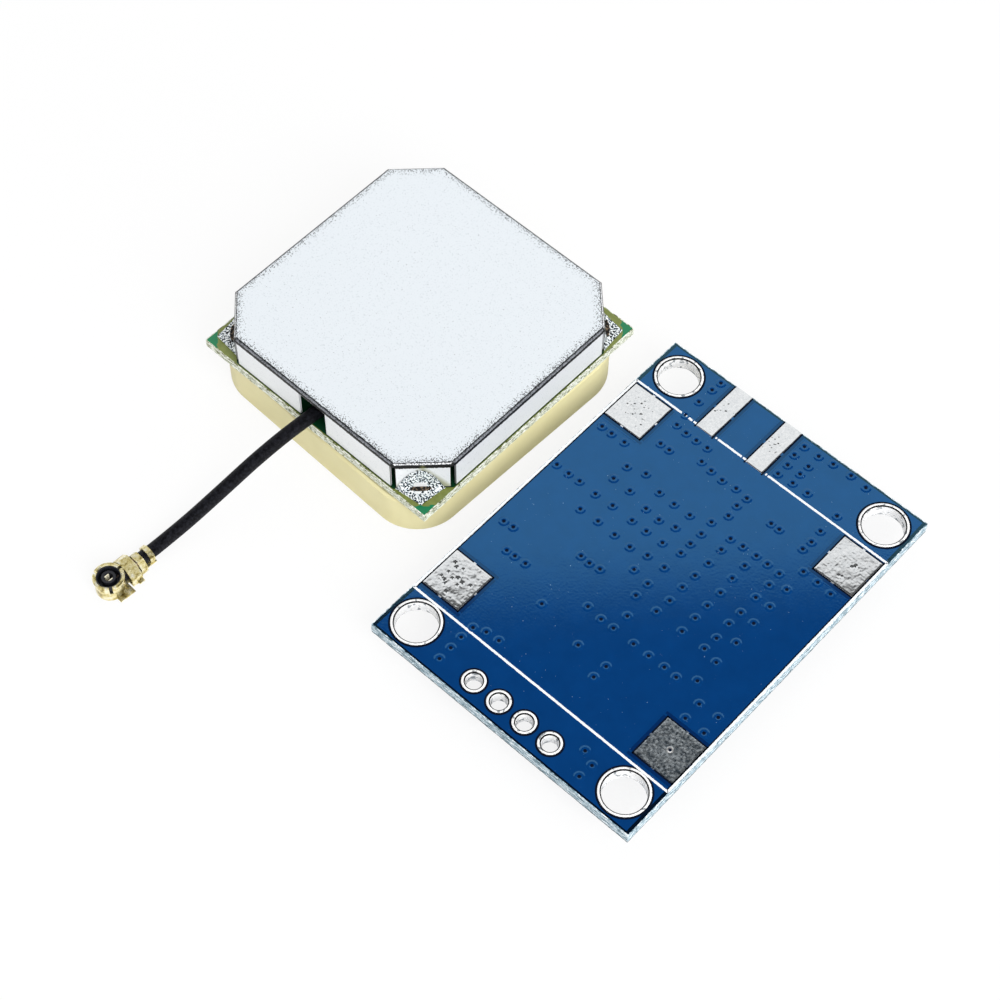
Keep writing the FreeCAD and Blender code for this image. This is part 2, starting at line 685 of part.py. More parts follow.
def small_parts():
    """Resistors, capacitors, the charging diode and the status light."""
    regulator = from_end("regulator")
    right = "(receiver_across + receiver_width / 2 + chip_gap)"
    left = "(receiver_across - receiver_width / 2 - 0.75 * chip_gap)"
    below = "(receiver_along - receiver_length / 2 - 1.5 * chip_gap)"
    resistor_places = [(right, on_grid("receiver_along", 5), True),
                       (right, on_grid("receiver_along", 3), True),
                       (left, on_grid("receiver_along", 1.5), True),
                       (on_grid("receiver_across", 0), below, False)]
    capacitor_places = [(on_grid("regulator_across", -2.4), on_grid(regulator, -0.5), True),
                        (on_grid("regulator_across", 1.9), on_grid(regulator, 0.7), True),
                        (on_grid("regulator_across", -1.5), on_grid(regulator, 1.7), False),
                        (left, on_grid("receiver_along", -5.4), False),
                        (on_grid("receiver_across", -3.4), below, False),
                        (left, on_grid("receiver_along", 4), True)]
    resistors, resistor_ends = chip_parts(resistor_places, "resistor_height",
                                          BOARD_UNDER + " - resistor_height")
    capacitors, capacitor_ends = chip_parts(capacitor_places, "capacitor_height",
                                            BOARD_UNDER + " - capacitor_height")
    node(group("resistor_group", resistors), "chip_resistors")
    node(group("capacitor_group", capacitors), "chip_capacitors")
    node(group("chip_end_group", resistor_ends + capacitor_ends), "chip_end_caps")
    diode = block("diode_block", "diode_length", "diode_width", "diode_height",
                  "diode_across", from_end("diode"), BOARD_UNDER + " - diode_height")
    node(diode, "charging_diode")
    feet = [block("diode_foot", "diode_foot_length", "diode_foot_width", "tab_thick",
                  "diode_across + %s * (diode_length + diode_foot_length) / 2" % side,
                  from_end("diode"), BOARD_UNDER + " - tab_thick") for side in (-1, 1)]
    node(group("diode_feet", feet), "diode_leads")
    node(block("lamp_block", "chip_length", "chip_width", "lamp_base_height", "lamp_across",
               from_end("lamp"), BOARD_UNDER + " - lamp_base_height"), "status_light_base")
    node(block("lamp_lens", "lamp_lens_length", "chip_width", "lamp_lens_height", "lamp_across",
               from_end("lamp"), BOARD_UNDER + " - lamp_base_height - lamp_lens_height"),
         "status_light_lens")


def antenna_socket():
    """The small coax socket: moulded base, ring with two ground feet, and middle pin."""
    x, y = "edge_pad_middle", from_end("socket")
    base = block("socket_base_block", "socket_base_side", "socket_base_side",
                 "socket_base_height", x, y, BOARD_UNDER + " - socket_base_height")
    pin_hole = rod("socket_pin_hole", "socket_pin_radius", "socket_base_height", x, y,
                   BOARD_UNDER + " - socket_base_height")
    node(cut("socket_base_solid", base, pin_hole), "socket_base")
    face = BOARD_UNDER + " - socket_base_height - socket_ring_wall"
    rim = BOARD_UNDER + " - socket_height"
    flange = block("socket_flange", "2 * socket_foot_reach", "socket_foot_width",
                   "socket_ring_wall", x, y, face)
    ring = rod("socket_ring", "socket_ring_radius", "socket_height - socket_base_height",
               x, y, rim)
    foot_wide = "(socket_foot_reach - socket_base_side / 2)"
    feet = [block("socket_foot", foot_wide, "socket_foot_width",
                  "socket_base_height + socket_ring_wall",
                  "%s + %s * (socket_foot_reach - %s / 2)" % (x, side, foot_wide), y, face)
            for side in (-1, 1)]
    bore = rod("socket_bore", "socket_ring_radius - socket_ring_wall",
               "socket_height - socket_base_height", x, y, rim)
    node(cut("socket_shell_solid", fuse("socket_shell_outside", [flange, ring] + feet), bore),
         "socket_shell")
    node(rod("socket_pin_rod", "socket_pin_radius", "socket_height - socket_ring_wall", x, y,
             BOARD_UNDER + " - socket_height + socket_ring_wall"), "socket_pin")


# Patch of the antenna, face down

def ceramic_patch():
    """The ceramic block with round corners, broken edges and the hole for the feed pin."""
    body = new_body("ceramic_patch_body")
    outline = new_sketch(body, "ceramic_outline")
    add_polygon(outline, rectangle("patch_side", "patch_side"))
    solid = pad(body, outline, "patch_thick")
    corners = round_edges(body, solid, "ceramic_corners", "patch_corner", is_upright)
    bevel_edges(body, corners, "ceramic_edges", "patch_edge",
                lambda edge: is_level_at(0.0)(edge) or is_level_at(size("patch_thick"))(edge))
    doc.recompute()
    hole = new_sketch(body, "ceramic_pin_hole")
    add_circle(hole, "feed_pin_radius + feed_clearance", "feed_across", "feed_along")
    pocket(body, hole, "patch_thick")
    seat = new_sketch(body, "ceramic_pin_seat")
    add_circle(seat, "feed_head_radius + feed_clearance", "feed_across", "feed_along")
    pocket(body, seat, "feed_head_thick - silver_thick")
    stand(body, z="silver_thick", **PATCH)
    node(body, "ceramic_patch")


def printed_silver():
    """The radiating square on the outer face and the ground plane on the inner face."""
    plate("radiator_electrode", octagon("radiator_side", "radiator_cut"), "silver_thick",
          dict(PATCH, z="0"), circles=[("feed_head_radius", "feed_across", "feed_along")])
    plate("ground_electrode", rectangle("ground_side", "ground_side"), "silver_thick",
          dict(PATCH, z=PATCH_TOP), corner="patch_corner - (patch_side - ground_side) / 2",
          circles=[("ground_clearance_radius", "feed_across", "feed_along")])


def feed_pin():
    """A headed pin that goes up through the ceramic, the tape and the antenna board."""
    body = new_body("feed_pin_body")
    profile = new_sketch(body, "feed_pin_profile", "XZ_Plane")
    top = "%s + feed_pin_stub" % ANTENNA_TOP
    add_polygon(profile, [("0", "0"), ("feed_head_radius", "0"),
                          ("feed_head_radius", "feed_head_thick"),
                          ("feed_pin_radius", "feed_head_thick"), ("feed_pin_radius", top),
                          ("0", top)])
    turned = body.newObject("PartDesign::Revolution", "feed_pin_turned")
    turned.Profile = profile
    turned.ReferenceAxis = (profile, ["V_Axis"])
    turned.Angle = 360
    point = feed_point()
    body.Placement = Placement(point, Rotation())
    node(body, "feed_pin")


def patch_place():
    """Where the patch lies, as a placement."""
    return Placement(Vector(size("antenna_across") + size("patch_shift_across"),
                            size("antenna_along") + size("patch_shift_along"), 0),
                     Rotation(Vector(0, 0, 1), size("antenna_turn") + size("patch_turn")))


def antenna_place():
    """Where the antenna board lies, as a placement."""
    return Placement(Vector(size("antenna_across"), size("antenna_along"), 0),
                     Rotation(Vector(0, 0, 1), size("antenna_turn")))


def feed_point():
    """The foot of the feed pin."""
    return patch_place().multVec(Vector(size("feed_across"), size("feed_along"), 0))


# Antenna board

TAB_FACE = "((can_side - can_chamfer) / sqrt(2))"
CORNERS = [(1, 1), (-1, 1), (-1, -1), (1, -1)]


def antenna_board():
    """The green board with a slot at each corner, the tape under it and its tinned pads."""
    point = antenna_place().inverse().multVec(feed_point())
    slots = [slanted(TAB_FACE + " - can_sheet / 2", "leg_slot_width", "leg_slot_gap",
                     across, along) for across, along in CORNERS]
    plate("antenna_board", rectangle("antenna_board_side", "antenna_board_side"),
          "antenna_board_thick", dict(ANTENNA, z=ANTENNA_UNDER), holes=slots,
          circles=[("feed_pin_radius + 2 * feed_clearance", point.x, point.y)])
    plate("adhesive_tape", rectangle("tape_side", "tape_side"), "tape_thick",
          dict(ANTENNA, z=TAPE_UNDER), circles=[("ground_clearance_radius", point.x, point.y)])
    pads = []
    for index, (across, along) in enumerate(CORNERS):
        middle = "(antenna_board_side / 2 - antenna_pad_inset - antenna_pad_side / 2)"
        copper = block("antenna_pad", "antenna_pad_side", "antenna_pad_side", "pad_proud",
                       "%s * %s" % (across, middle), "%s * %s" % (along, middle), ANTENNA_TOP)
        slot_middle = "((can_side - can_chamfer) / 2 - can_sheet / 2 / sqrt(2))"
        opening = block("antenna_pad_slot", "leg_slot_width", "leg_slot_gap", "3 * pad_proud",
                        "%s * %s" % (across, slot_middle), "%s * %s" % (along, slot_middle),
                        ANTENNA_TOP + " - pad_proud", -45 * across * along)
        pads.append(cut("antenna_pad_%d" % index, copper, opening))
    compound = group("antenna_pad_group", pads)
    compound.Placement = antenna_place()
    node(compound, "antenna_corner_pads")


# Shield can, folded from one sheet

def shield_can():
    """A square tray with cut corners: top, four walls, four corner tabs with legs, and a notch."""
    body = new_body("shield_can_body")
    outside = new_sketch(body, "can_outside")
    add_polygon(outside, octagon("can_side", "can_chamfer"))
    solid = pad(body, outside, "can_height")
    round_edges(body, solid, "can_folds", "can_bend", is_level_at(size("can_height")))
    doc.recompute()
    inside = new_sketch(body, "can_inside")
    add_polygon(inside, octagon("can_side - 2 * can_sheet",
                                "can_chamfer - can_sheet * (2 - sqrt(2))"))
    hollow = pocket(body, inside, "can_height - can_sheet")
    inner_top = size("can_height") - size("can_sheet")
    round_edges(body, hollow, "can_inner_folds", "can_bend - can_sheet", is_level_at(inner_top))
    doc.recompute()
    slits = new_sketch(body, "can_slits")
    flat, short = "can_side / 2", "(can_side / 2 - can_chamfer)"
    for (x, y), (out_x, out_y) in (((flat, short), (0.9239, 0.3827)),
                                   ((short, flat), (0.3827, 0.9239))):
        corners = []
        for end, side in ((-1, -1), (1, -1), (1, 1), (-1, 1)):
            corners.append(("%s + %s * %s * 0.8 - %s * %s * can_gap / 2"
                            % (x, end, out_x, side, out_y),
                            "%s + %s * %s * 0.8 + %s * %s * can_gap / 2"
                            % (y, end, out_y, side, out_x)))
        add_polygon(slits, corners)
    slit_cut = pocket(body, slits, "can_height - can_bend")
    around(body, slit_cut, slits, "can_slits_around")
    legs = new_sketch(body, "can_legs")
    add_polygon(legs, slanted(TAB_FACE + " - can_sheet / 2", "can_leg_width", "can_sheet", 1, 1))
    leg = pad(body, legs, "can_leg_length", reverse=True)
    around(body, leg, legs, "can_legs_around")
    notch = new_sketch(body, "can_notch")
    add_polygon(notch, rectangle("notch_width", "6 * can_sheet", "0", "-can_side / 2"))
    pocket(body, notch, "can_height - notch_lip")
    stand(body, z=ON_ANTENNA_PADS, **ANTENNA)
    node(body, "shield_can")


def around(body, feature, sketch, name):
    """Repeat a feature at the four corners."""
    doc.recompute()
    pattern = body.newObject("PartDesign::PolarPattern", name)
    pattern.Originals = [feature]
    pattern.Axis = (sketch, ["N_Axis"])
    pattern.Angle = 360
    pattern.Occurrences = len(CORNERS)
    body.Tip = pattern
    doc.recompute()
    return pattern


def corner_solder():
    """Solder that climbs each corner tab from its pad, open over the slot."""
    face = (size("can_side") - size("can_chamfer")) / math.sqrt(2)
    tip = (size("antenna_board_side") / 2 - size("antenna_pad_inset")) * math.sqrt(2)
    foot = size("solder_foot") / 2
    height = size("solder_height")
    shoulder = size("solder_shoulder") / 2
    shoulder_height = size("shoulder_height")
    points = [Vector(face, -foot, 0), Vector(face, foot, 0), Vector(tip, 0, 0),
              Vector(face, shoulder, shoulder_height), Vector(face, 0, height),
              Vector(face, -shoulder, shoulder_height)]
    sides = [(0, 1, 2), (0, 1, 3, 4, 5), (1, 2, 3), (3, 2, 4), (4, 2, 5), (5, 2, 0)]
    faces = [Part.Face(Part.makePolygon([points[i] for i in side + side[:1]])) for side in sides]
    wedge = Part.Solid(Part.Shell(faces))
    opening = Part.makeBox(size("leg_slot_gap"), size("leg_slot_width") / 2, height,
                           Vector(face - size("leg_slot_gap") / 2,
                                  -size("leg_slot_width") / 4, -height / 2))
    wedge = wedge.cut(opening)
    pieces = []
    for index in range(len(CORNERS)):
        piece = wedge.copy()
        piece.rotate(Vector(0, 0, 0), Vector(0, 0, 1), 45 + 90 * index)
        pieces.append(piece)
    level = size_of(ON_ANTENNA_PADS)
    place = antenna_place().multiply(Placement(Vector(0, 0, level), Rotation()))
    node(shaped("corner_solder_set", Part.makeCompound(pieces), place), "corner_solder")


# Amplifier inside the can

def amplifier():
    """Two small transistors, a filter, chip parts and the solder on the feed pin."""
    bodies, leads = [], []
    for across, along in ((-3, 4), (3.9, -1.3)):
        x, y = on_grid("0", across), on_grid("0", along)
        bodies.append(block("amplifier_body", "amplifier_length", "amplifier_width",
                            "amplifier_height", x, y, "body_standoff"))
        for side in (-1, 1):
            lead_y = "%s + %s * (amplifier_width + amplifier_lead_reach) / 2" % (y, side)
            for step in (-1, 1):
                leads.append(block("amplifier_lead", "amplifier_lead_width",
                                   "amplifier_lead_reach", "amplifier_height / 2",
                                   "%s + %s * amplifier_length / 3" % (x, step), lead_y, "0"))
    saw = block("filter_block", "saw_side", "saw_side", "saw_height", on_grid("0", -3.5),
                on_grid("0", -0.4), "0")
    chips, ends = chip_parts([(on_grid("0", across), on_grid("0", along), upright)
                              for across, along, upright in
                              ((0, 4.6, False), (2.4, 2.1, True), (-5.6, 2.4, True),
                               (4, -3.7, False), (-0.9, -1.9, False), (6, 0.9, True))],
                             "resistor_height", "0")
    for label, pieces in (("amplifier_chips", bodies), ("amplifier_leads", leads),
                          ("frequency_filter", [saw]), ("antenna_chip_parts", chips),
                          ("antenna_chip_ends", ends)):
        compound = group(label + "_group", pieces)
        stand(compound, z=ANTENNA_TOP, **ANTENNA)
        node(compound, label)
    point = antenna_place().inverse().multVec(feed_point())
    cone = Part.makeCone(2.2 * size("feed_pin_radius"), 1.1 * size("feed_pin_radius"),
                         0.8 * size("feed_pin_stub"))
    pin = Part.makeCylinder(size("feed_pin_radius"), size("feed_pin_stub"))
    place = antenna_place().multiply(Placement(point + Vector(0, 0, size_of(ANTENNA_TOP)),
                                               Rotation()))
    node(shaped("feed_solder", cone.cut(pin), place), "feed_pin_solder")


# Coax lead, from its solder joint in the can to the plug

LEAD_BENDS = [
    (-28.17, -4.60, 5.765),
    (-28.32, -7.60, 5.87),
    (-28.80, -10.70, 5.50),
    (-29.45, -13.60, 4.40),
    (-30.10, -16.80, 2.93),
    (-30.80, -20.00, 1.42),
]


def lead_route():
    """The chosen bends, then the straight stretch on the plug's own axis."""
    level = size_of(LEAD_LEVEL)
    ends = [Vector(0, size("jacket_end") + size("lead_straight"), level),
            Vector(0, size("jacket_end"), level)]
    return [Vector(*bend) for bend in LEAD_BENDS] + [plug_frame().multVec(end) for end in ends]


def lead_path(points):
    """Straight runs joined by arcs, each as large as its two runs allow."""
    edges, start = [], points[0]
    for before, corner, after in zip(points, points[1:], points[2:]):
        incoming, outgoing = corner - before, after - corner
        turn = incoming.getAngle(outgoing)
        setback = 0.45 * min(incoming.Length, outgoing.Length)
        print("lead arc radius %.1f mm" % (setback / math.tan(turn / 2)))
        incoming.normalize()
        outgoing.normalize()
        first, last = corner - incoming * setback, corner + outgoing * setback
        inward = outgoing - incoming
        inward.normalize()
        radius = setback / math.tan(turn / 2)
        centre_gap = math.hypot(radius, setback) - radius
        edges.append(Part.LineSegment(start, first).toShape())
        edges.append(Part.Arc(first, corner + inward * centre_gap, last).toShape())
        start = last
    edges.append(Part.LineSegment(start, points[-1]).toShape())
    return Part.Wire(edges)


def swept_rod(points, radius):
    """A round section carried along the path."""
    path = lead_path(points)
    begin = path.Vertexes[0].Point
    heading = path.Vertexes[1].Point - begin
    section = Part.Wire([Part.Circle(begin, heading, radius).toShape()])
    solid = path.makePipeShell([section], True, True)
    expected = math.pi * radius ** 2 * path.Length
    print("lead length %.2f mm, volume %.4f of its section times length"
          % (path.Length, solid.Volume / expected))
    return solid


def stripped_end(point, heading):
    """Braid, insulation and core that show at a stripped end, one beyond the other."""
    step = size("strip_length")
    layers, start = [], point
    for radius in ("braid_radius", "dielectric_radius", "core_radius"):
        layers.append(Part.makeCylinder(size(radius), step, start, heading))
        start = start + heading * step
    return layers


def coax_lead():
    """The jacket along its route, and the stripped layers at its two ends."""
    route = lead_route()
    node(shaped("lead_jacket_rod", swept_rod(route, size("coax_radius"))), "lead_jacket")
    inward = (route[0] - route[1]).normalize()
    onward = (route[-1] - route[-2]).normalize()
    inner = stripped_end(route[0], inward)
    outer = stripped_end(route[-1], onward)
    for label, one, other in zip(("lead_braid", "lead_insulation", "lead_core"), inner, outer):
        node(shaped(label + "_ends", Part.makeCompound([one, other])), label)
    level = size_of(ANTENNA_TOP)
    step = size("strip_length")
    joints = []
    for layer, order in ((inner[0], 0.5), (inner[2], 2.5)):
        middle = route[0] + inward * step * order
        height = middle.z - level + size("core_radius")
        middle.z = level
        joints.append(Part.makeCone(step * 0.48, step * 0.3, height, middle).cut(layer))
    node(shaped("lead_solder_joints", Part.makeCompound(joints)), "lead_solder")


# Plug: a stamped and folded shell, a moulded insert and a contact

def plug_frame():
    """Where the plug lies, as a placement."""
    return Placement(Vector(size("plug_across"), size("plug_along"), 0),
                     Rotation(Vector(0, 0, 1), size("plug_turn")))


def plug_shell():
    """Cup with a rolled, slit rim, ears, strip, folded wings and two crimps."""
    body = new_body("plug_shell_body")
    profile = new_sketch(body, "plug_cup_profile", "XZ_Plane")
    rim_under = "(plug_height - plug_rim_depth)"
    inner = "(plug_cup_radius - plug_sheet)"
    rim_bore = "(socket_ring_radius - plug_rim_grip)"
    add_polygon(profile, [
        ("0", "0"), ("plug_cup_radius", "0"), ("plug_cup_radius", rim_under + " - plug_rim_bevel"),
        ("plug_rim_radius", rim_under), ("plug_rim_radius", "plug_height - plug_rim_bevel"),
        ("plug_rim_radius - plug_rim_bevel", "plug_height"),
        (rim_bore + " + plug_rim_bevel", "plug_height"),
        (rim_bore, "plug_height - plug_rim_bevel"), (rim_bore, rim_under),
        (inner, rim_under + " - plug_rim_bevel"), (inner, "plug_sheet"), ("0", "plug_sheet"),
    ])
    cup = body.newObject("PartDesign::Revolution", "plug_cup")
    cup.Profile = profile
    cup.ReferenceAxis = (profile, ["V_Axis"])
    cup.Angle = 360
    for name, width, start, end in (
            ("strip", "plug_strip_width", "0", "jacket_crimp_end + plug_tail"),
            ("ears", "2 * plug_ear_reach", "-plug_ear_back", "plug_ear_length - plug_ear_back"),
            ("flange", "plug_flange_width", "(plug_wing_start + plug_wing_end) / 2",
             "plug_wing_end")):
        flat = new_sketch(body, "plug_" + name)
        add_polygon(flat, [("%s * (%s) / 2" % (side, width), end_y)
                           for side, end_y in ((-1, start), (1, start), (1, end), (-1, end))])
        pad(body, flat, "plug_sheet")
    for name, start, end, corners, inside in (
            ("wings", "plug_wing_start", "plug_wing_end", wing_corners("0"),
             wing_corners("plug_sheet")),
            ("braid_crimp", "braid_crimp_start", "braid_crimp_end", braid_crimp_corners(), None),
            ("jacket_crimp", "jacket_crimp_start", "jacket_crimp_end", jacket_crimp_corners(),
             None)):
        wrap = new_sketch(body, "plug_" + name, "XZ_Plane", "-(%s)" % end)
        add_polygon(wrap, corners)
        if inside:
            add_polygon(wrap, inside)
        else:
            add_circle(wrap, "braid_radius" if name == "braid_crimp" else "coax_radius",
                       "0", LEAD_LEVEL)
        pad(body, wrap, "%s - %s" % (end, start))
    throat = new_sketch(body, "plug_throat", "XY_Plane", "plug_sheet")
    add_polygon(throat, rectangle("throat_width", "4 * plug_sheet", "0", "plug_cup_radius"))
    pocket(body, throat, "throat_height")
    slits = new_sketch(body, "plug_slits", "XY_Plane", "plug_height - plug_slit_depth")
    add_polygon(slits, rectangle("plug_slit_width", "3 * plug_rim_depth", "0",
                                 "plug_rim_radius - 1.4 * plug_rim_depth"))
    slit = pocket(body, slits, "plug_slit_depth")
    doc.recompute()
    ring = body.newObject("PartDesign::PolarPattern", "plug_slits_around")
    ring.Originals = [slit]
    ring.Axis = (slits, ["N_Axis"])
    ring.Angle = 360
    ring.Occurrences = 3
    body.Tip = ring
    stand(body, z="0", **PLUG)
    node(body, "plug_shell")


def wing_corners(inset):
    """Section of the folded wings: upright sides, slopes and a flat top."""
    half = "(plug_wing_width / 2 - %s)" % inset
    top = "(plug_wing_height - %s)" % inset
    knee = "(plug_wing_height * 0.55)"
    return [("-" + half, inset), (half, inset), (half, knee), (half + " * 0.45", top),
            ("-%s * 0.45" % half, top), ("-" + half, knee)]


def braid_crimp_corners():
    """Section of the crimp on the braid: a flat foot and three folds over the top."""
    half = "(braid_radius + 3.4 * plug_sheet)"
    top = "(%s + braid_radius + 1.5 * plug_sheet)" % LEAD_LEVEL
    return [("-" + half, "0"), (half, "0"), (half, LEAD_LEVEL), (half + " * 0.5", top),
            ("-%s * 0.5" % half, top), ("-" + half, LEAD_LEVEL)]


def jacket_crimp_corners():
    """Section of the crimp on the jacket: eight sides round the lead."""
    corners = []
    for step in range(8):
        angle = math.radians(22.5 + 45 * step)
        reach = 1 / math.cos(math.radians(22.5))
        corners.append(("%s * %.4f" % (LEAD_LEVEL, reach * math.cos(angle)),
                        "%s * %.4f" % (LEAD_LEVEL, 1 + reach * math.sin(angle))))
    return corners


def plug_inside():
    """The black moulded insert with its neck, and the contact with its two bars."""
    floor_level = size("plug_sheet")
    axis_level = size_of(LEAD_LEVEL)
    rim = size("plug_height")
    gap = size("insert_gap")
    disc_top = rim - (size("socket_height") - size("socket_base_height")) - size("plug_rim_depth") / 3
    thick = size("contact_thick")
    bar_reach = size("socket_pin_radius") - gap
    plate_top = axis_level - size("core_radius")
    tail = Part.makeBox(2 * (bar_reach + thick), size("insert_neck_start"), thick,
                        Vector(-bar_reach - thick, -size("contact_length") / 2, plate_top - thick))
    contact = tail
    for start in (bar_reach, -bar_reach - thick):
        bar = Part.makeBox(thick, size("contact_length"), rim - size("contact_drop") - plate_top,
                           Vector(start, -size("contact_length") / 2, plate_top))
        contact = contact.fuse(bar)
    neck_width = size("throat_width") - 2 * gap
    neck = Part.makeBox(neck_width, size("insert_neck_end") - size("insert_neck_start"),
                        size("throat_height") - gap,
                        Vector(-neck_width / 2, size("insert_neck_start"), floor_level))
    disc = Part.makeCylinder(size("plug_cup_radius") - size("plug_sheet") - gap,
                             disc_top - floor_level, Vector(0, 0, floor_level))
    boss = Part.makeCylinder(size("insert_boss_radius"), rim - size("insert_drop") - disc_top,
                             Vector(0, 0, disc_top))
    bore = Part.makeCylinder(size("insert_bore"), rim, Vector(0, 0, plate_top))
    place = plug_frame()
    insert = disc.fuse([boss, neck]).cut(bore).cut(contact)
    core_end = size("jacket_end") - 3 * size("strip_length")
    lead = [Part.makeCylinder(size(layer), size("insert_neck_end"), Vector(0, start, axis_level),
                              Vector(0, 1, 0))
            for layer, start in (("dielectric_radius", core_end + size("strip_length")),
                                 ("core_radius", core_end))]
    node(shaped("plug_insert_solid", insert.cut(lead[0]).cut(lead[1]), place), "plug_insert")
    node(shaped("plug_contact_bars", contact.removeSplitter(), place), "plug_contact")


# The whole module

main_board()
eyelets("mounting_hole_plating", mounting_holes(), "mount_hole_radius", "mount_ring_radius")
eyelets("header_hole_plating", header_holes(), "header_hole_radius", "header_ring_radius")
bare_pads()
receiver()
leaded_chip("memory", "memory_along",
            [(-1, (-1.5, -0.5, 0.5, 1.5)), (1, (-1.5, -0.5, 0.5, 1.5))])
leaded_chip("regulator", from_end("regulator"), [(-1, (-1, 0, 1)), (1, (-1, 1))])
backup_cell()
small_parts()
antenna_socket()
ceramic_patch()
printed_silver()
feed_pin()
antenna_board()
shield_can()
corner_solder()
amplifier()
coax_lead()
plug_shell()
plug_inside()

doc.recompute()
for item in doc.Objects:
    for state in ("Invalid", "Error"):
        if state in item.State:
            raise RuntimeError("%s is %s" % (item.Label, state))

os.makedirs("parts", exist_ok=True)
for item in NODES:
    shape = item.Shape
    if shape.isNull() or not shape.isValid() or not shape.Solids:
        raise RuntimeError("%s has no valid solid" % item.Label)
    shape.exportStep("parts/%s.step" % item.Label)
    print("%-24s %3d solids %10.4f mm3" % (item.Label, len(shape.Solids), shape.Volume))
print(len(NODES), "nodes")
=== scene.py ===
import math

import bpy
import numpy as np
from mathutils import Matrix, Vector


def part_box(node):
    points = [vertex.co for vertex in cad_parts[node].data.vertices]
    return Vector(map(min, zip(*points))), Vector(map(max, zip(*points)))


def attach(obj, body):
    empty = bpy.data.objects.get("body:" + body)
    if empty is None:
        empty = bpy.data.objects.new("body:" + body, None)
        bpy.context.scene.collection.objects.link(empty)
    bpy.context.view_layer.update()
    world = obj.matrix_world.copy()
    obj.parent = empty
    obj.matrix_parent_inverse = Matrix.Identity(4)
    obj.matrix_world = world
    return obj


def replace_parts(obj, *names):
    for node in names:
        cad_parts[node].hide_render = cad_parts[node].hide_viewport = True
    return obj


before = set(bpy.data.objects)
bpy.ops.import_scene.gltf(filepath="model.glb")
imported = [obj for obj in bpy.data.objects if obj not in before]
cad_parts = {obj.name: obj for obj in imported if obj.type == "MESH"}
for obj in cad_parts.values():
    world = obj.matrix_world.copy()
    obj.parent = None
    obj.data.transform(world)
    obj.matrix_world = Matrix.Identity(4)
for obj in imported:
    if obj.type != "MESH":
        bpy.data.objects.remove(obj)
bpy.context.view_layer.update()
MM = 0.001


# Camera
# The module is seen from above, over the corner of the blue board that is nearest.
# The lens is long, so the board's edges are nearly parallel.

camera_turn = 0.73391
camera_height = 1.01186
camera_roll = 0.00811
camera_distance = 183.384
camera_target = np.array([-13.126, -3.071, 3.6])
focal_pixels = 2345.82
picture_pixels = 1000

back = np.array([math.sin(camera_turn) * math.cos(camera_height),
                 -math.cos(camera_turn) * math.cos(camera_height), math.sin(camera_height)])
level_right = np.cross(-back, [0, 0, 1])
level_right /= np.linalg.norm(level_right)
level_up = np.cross(level_right, -back)
right = math.cos(camera_roll) * level_right + math.sin(camera_roll) * level_up
up = math.cos(camera_roll) * level_up - math.sin(camera_roll) * level_right
lens = bpy.data.cameras.new("camera")
lens.sensor_width = 36
lens.lens = focal_pixels * lens.sensor_width / picture_pixels
lens.clip_start = 0.01
camera = bpy.data.objects.new("camera", lens)
bpy.context.scene.collection.objects.link(camera)
camera.matrix_world = Matrix.Translation(Vector((camera_target + back * camera_distance) * MM)) @ \
    Matrix((right, up, back)).transposed().to_4x4()
bpy.context.scene.camera = camera
bpy.context.scene.view_settings.view_transform = "Standard"


# Floor, backdrop and light
# A white sweep under even, soft light. A tall white card stands behind the object, a lower one
# in front, and the room above them is dim, which only glossy surfaces show: the tall card's edge
# is reflected as a soft line across the blue board. The dim room's reflection in the folds of the
# metal is painted into the can's colour.

def linear(colour):
    """The linear RGBA of a colour written as six hex digits."""
    levels = [int(colour[start:start + 2], 16) / 255 for start in (0, 2, 4)]
    return [level / 12.92 if level <= 0.04045 else ((level + 0.055) / 1.055) ** 2.4
            for level in levels] + [1.0]


def fill(tree, node, inputs):
    """Fills a node's inputs with values, or with links from other nodes."""
    for name, value in inputs.items():
        if isinstance(value, bpy.types.NodeSocket):
            tree.links.new(value, node.inputs[name])
        else:
            node.inputs[name].default_value = value


def add_node(tree, kind, inputs=(), **settings):
    """Adds a node with its settings and inputs, and returns its first output in use."""
    made = tree.nodes.new("ShaderNode" + kind)
    for name, value in settings.items():
        setattr(made, name, value)
    fill(tree, made, dict(inputs))
    return next(output for output in made.outputs if output.enabled)


def new_material(name):
    """A material with an empty tree but for its surface shader, and the two of them."""
    material = bpy.data.materials.new(name)
    material.use_nodes = True
    shader = material.node_tree.nodes["Principled BSDF"]
    return material, material.node_tree, shader


world = bpy.data.worlds.new("studio")
bpy.context.scene.world = world
world.use_nodes = True
sky = world.node_tree
card_elevation = math.radians(60.25)
card_tilt = math.radians(3.5)
card_softness = 0.006
room_level = 0.03
front_softness = 0.05
front_level = 0.9
card_top = -back * [1, 1, 0]
card_top = card_top / np.linalg.norm(card_top) * math.cos(card_elevation)
card_top[2] = math.sin(card_elevation)
card_edge = math.cos(card_tilt) * level_right + math.sin(card_tilt) * np.cross(card_top, level_right)
above_card = np.cross(card_edge, card_top)
direction = add_node(sky, "TexCoord").node.outputs["Generated"]
over = add_node(sky, "VectorMath", {0: direction, 1: above_card.tolist()}, operation="DOT_PRODUCT")
card = add_node(sky, "MapRange", {"Value": over, "From Min": -card_softness, "From Max": card_softness,
                                  "To Min": 1.0, "To Max": room_level}, interpolation_type="SMOOTHSTEP")
front_elevation = math.radians(42)
above_front = back * [1, 1, 0] / -np.linalg.norm(back[:2]) * math.sin(front_elevation)
above_front[2] = math.cos(front_elevation)
over = add_node(sky, "VectorMath", {0: direction, 1: above_front.tolist()}, operation="DOT_PRODUCT")
front = add_node(sky, "MapRange", {"Value": over, "From Min": -front_softness,
                                   "From Max": front_softness, "To Min": front_level, "To Max": 0.0})
cards = add_node(sky, "Math", {0: card, 1: front}, operation="MAXIMUM")
paths = add_node(sky, "LightPath").node.outputs
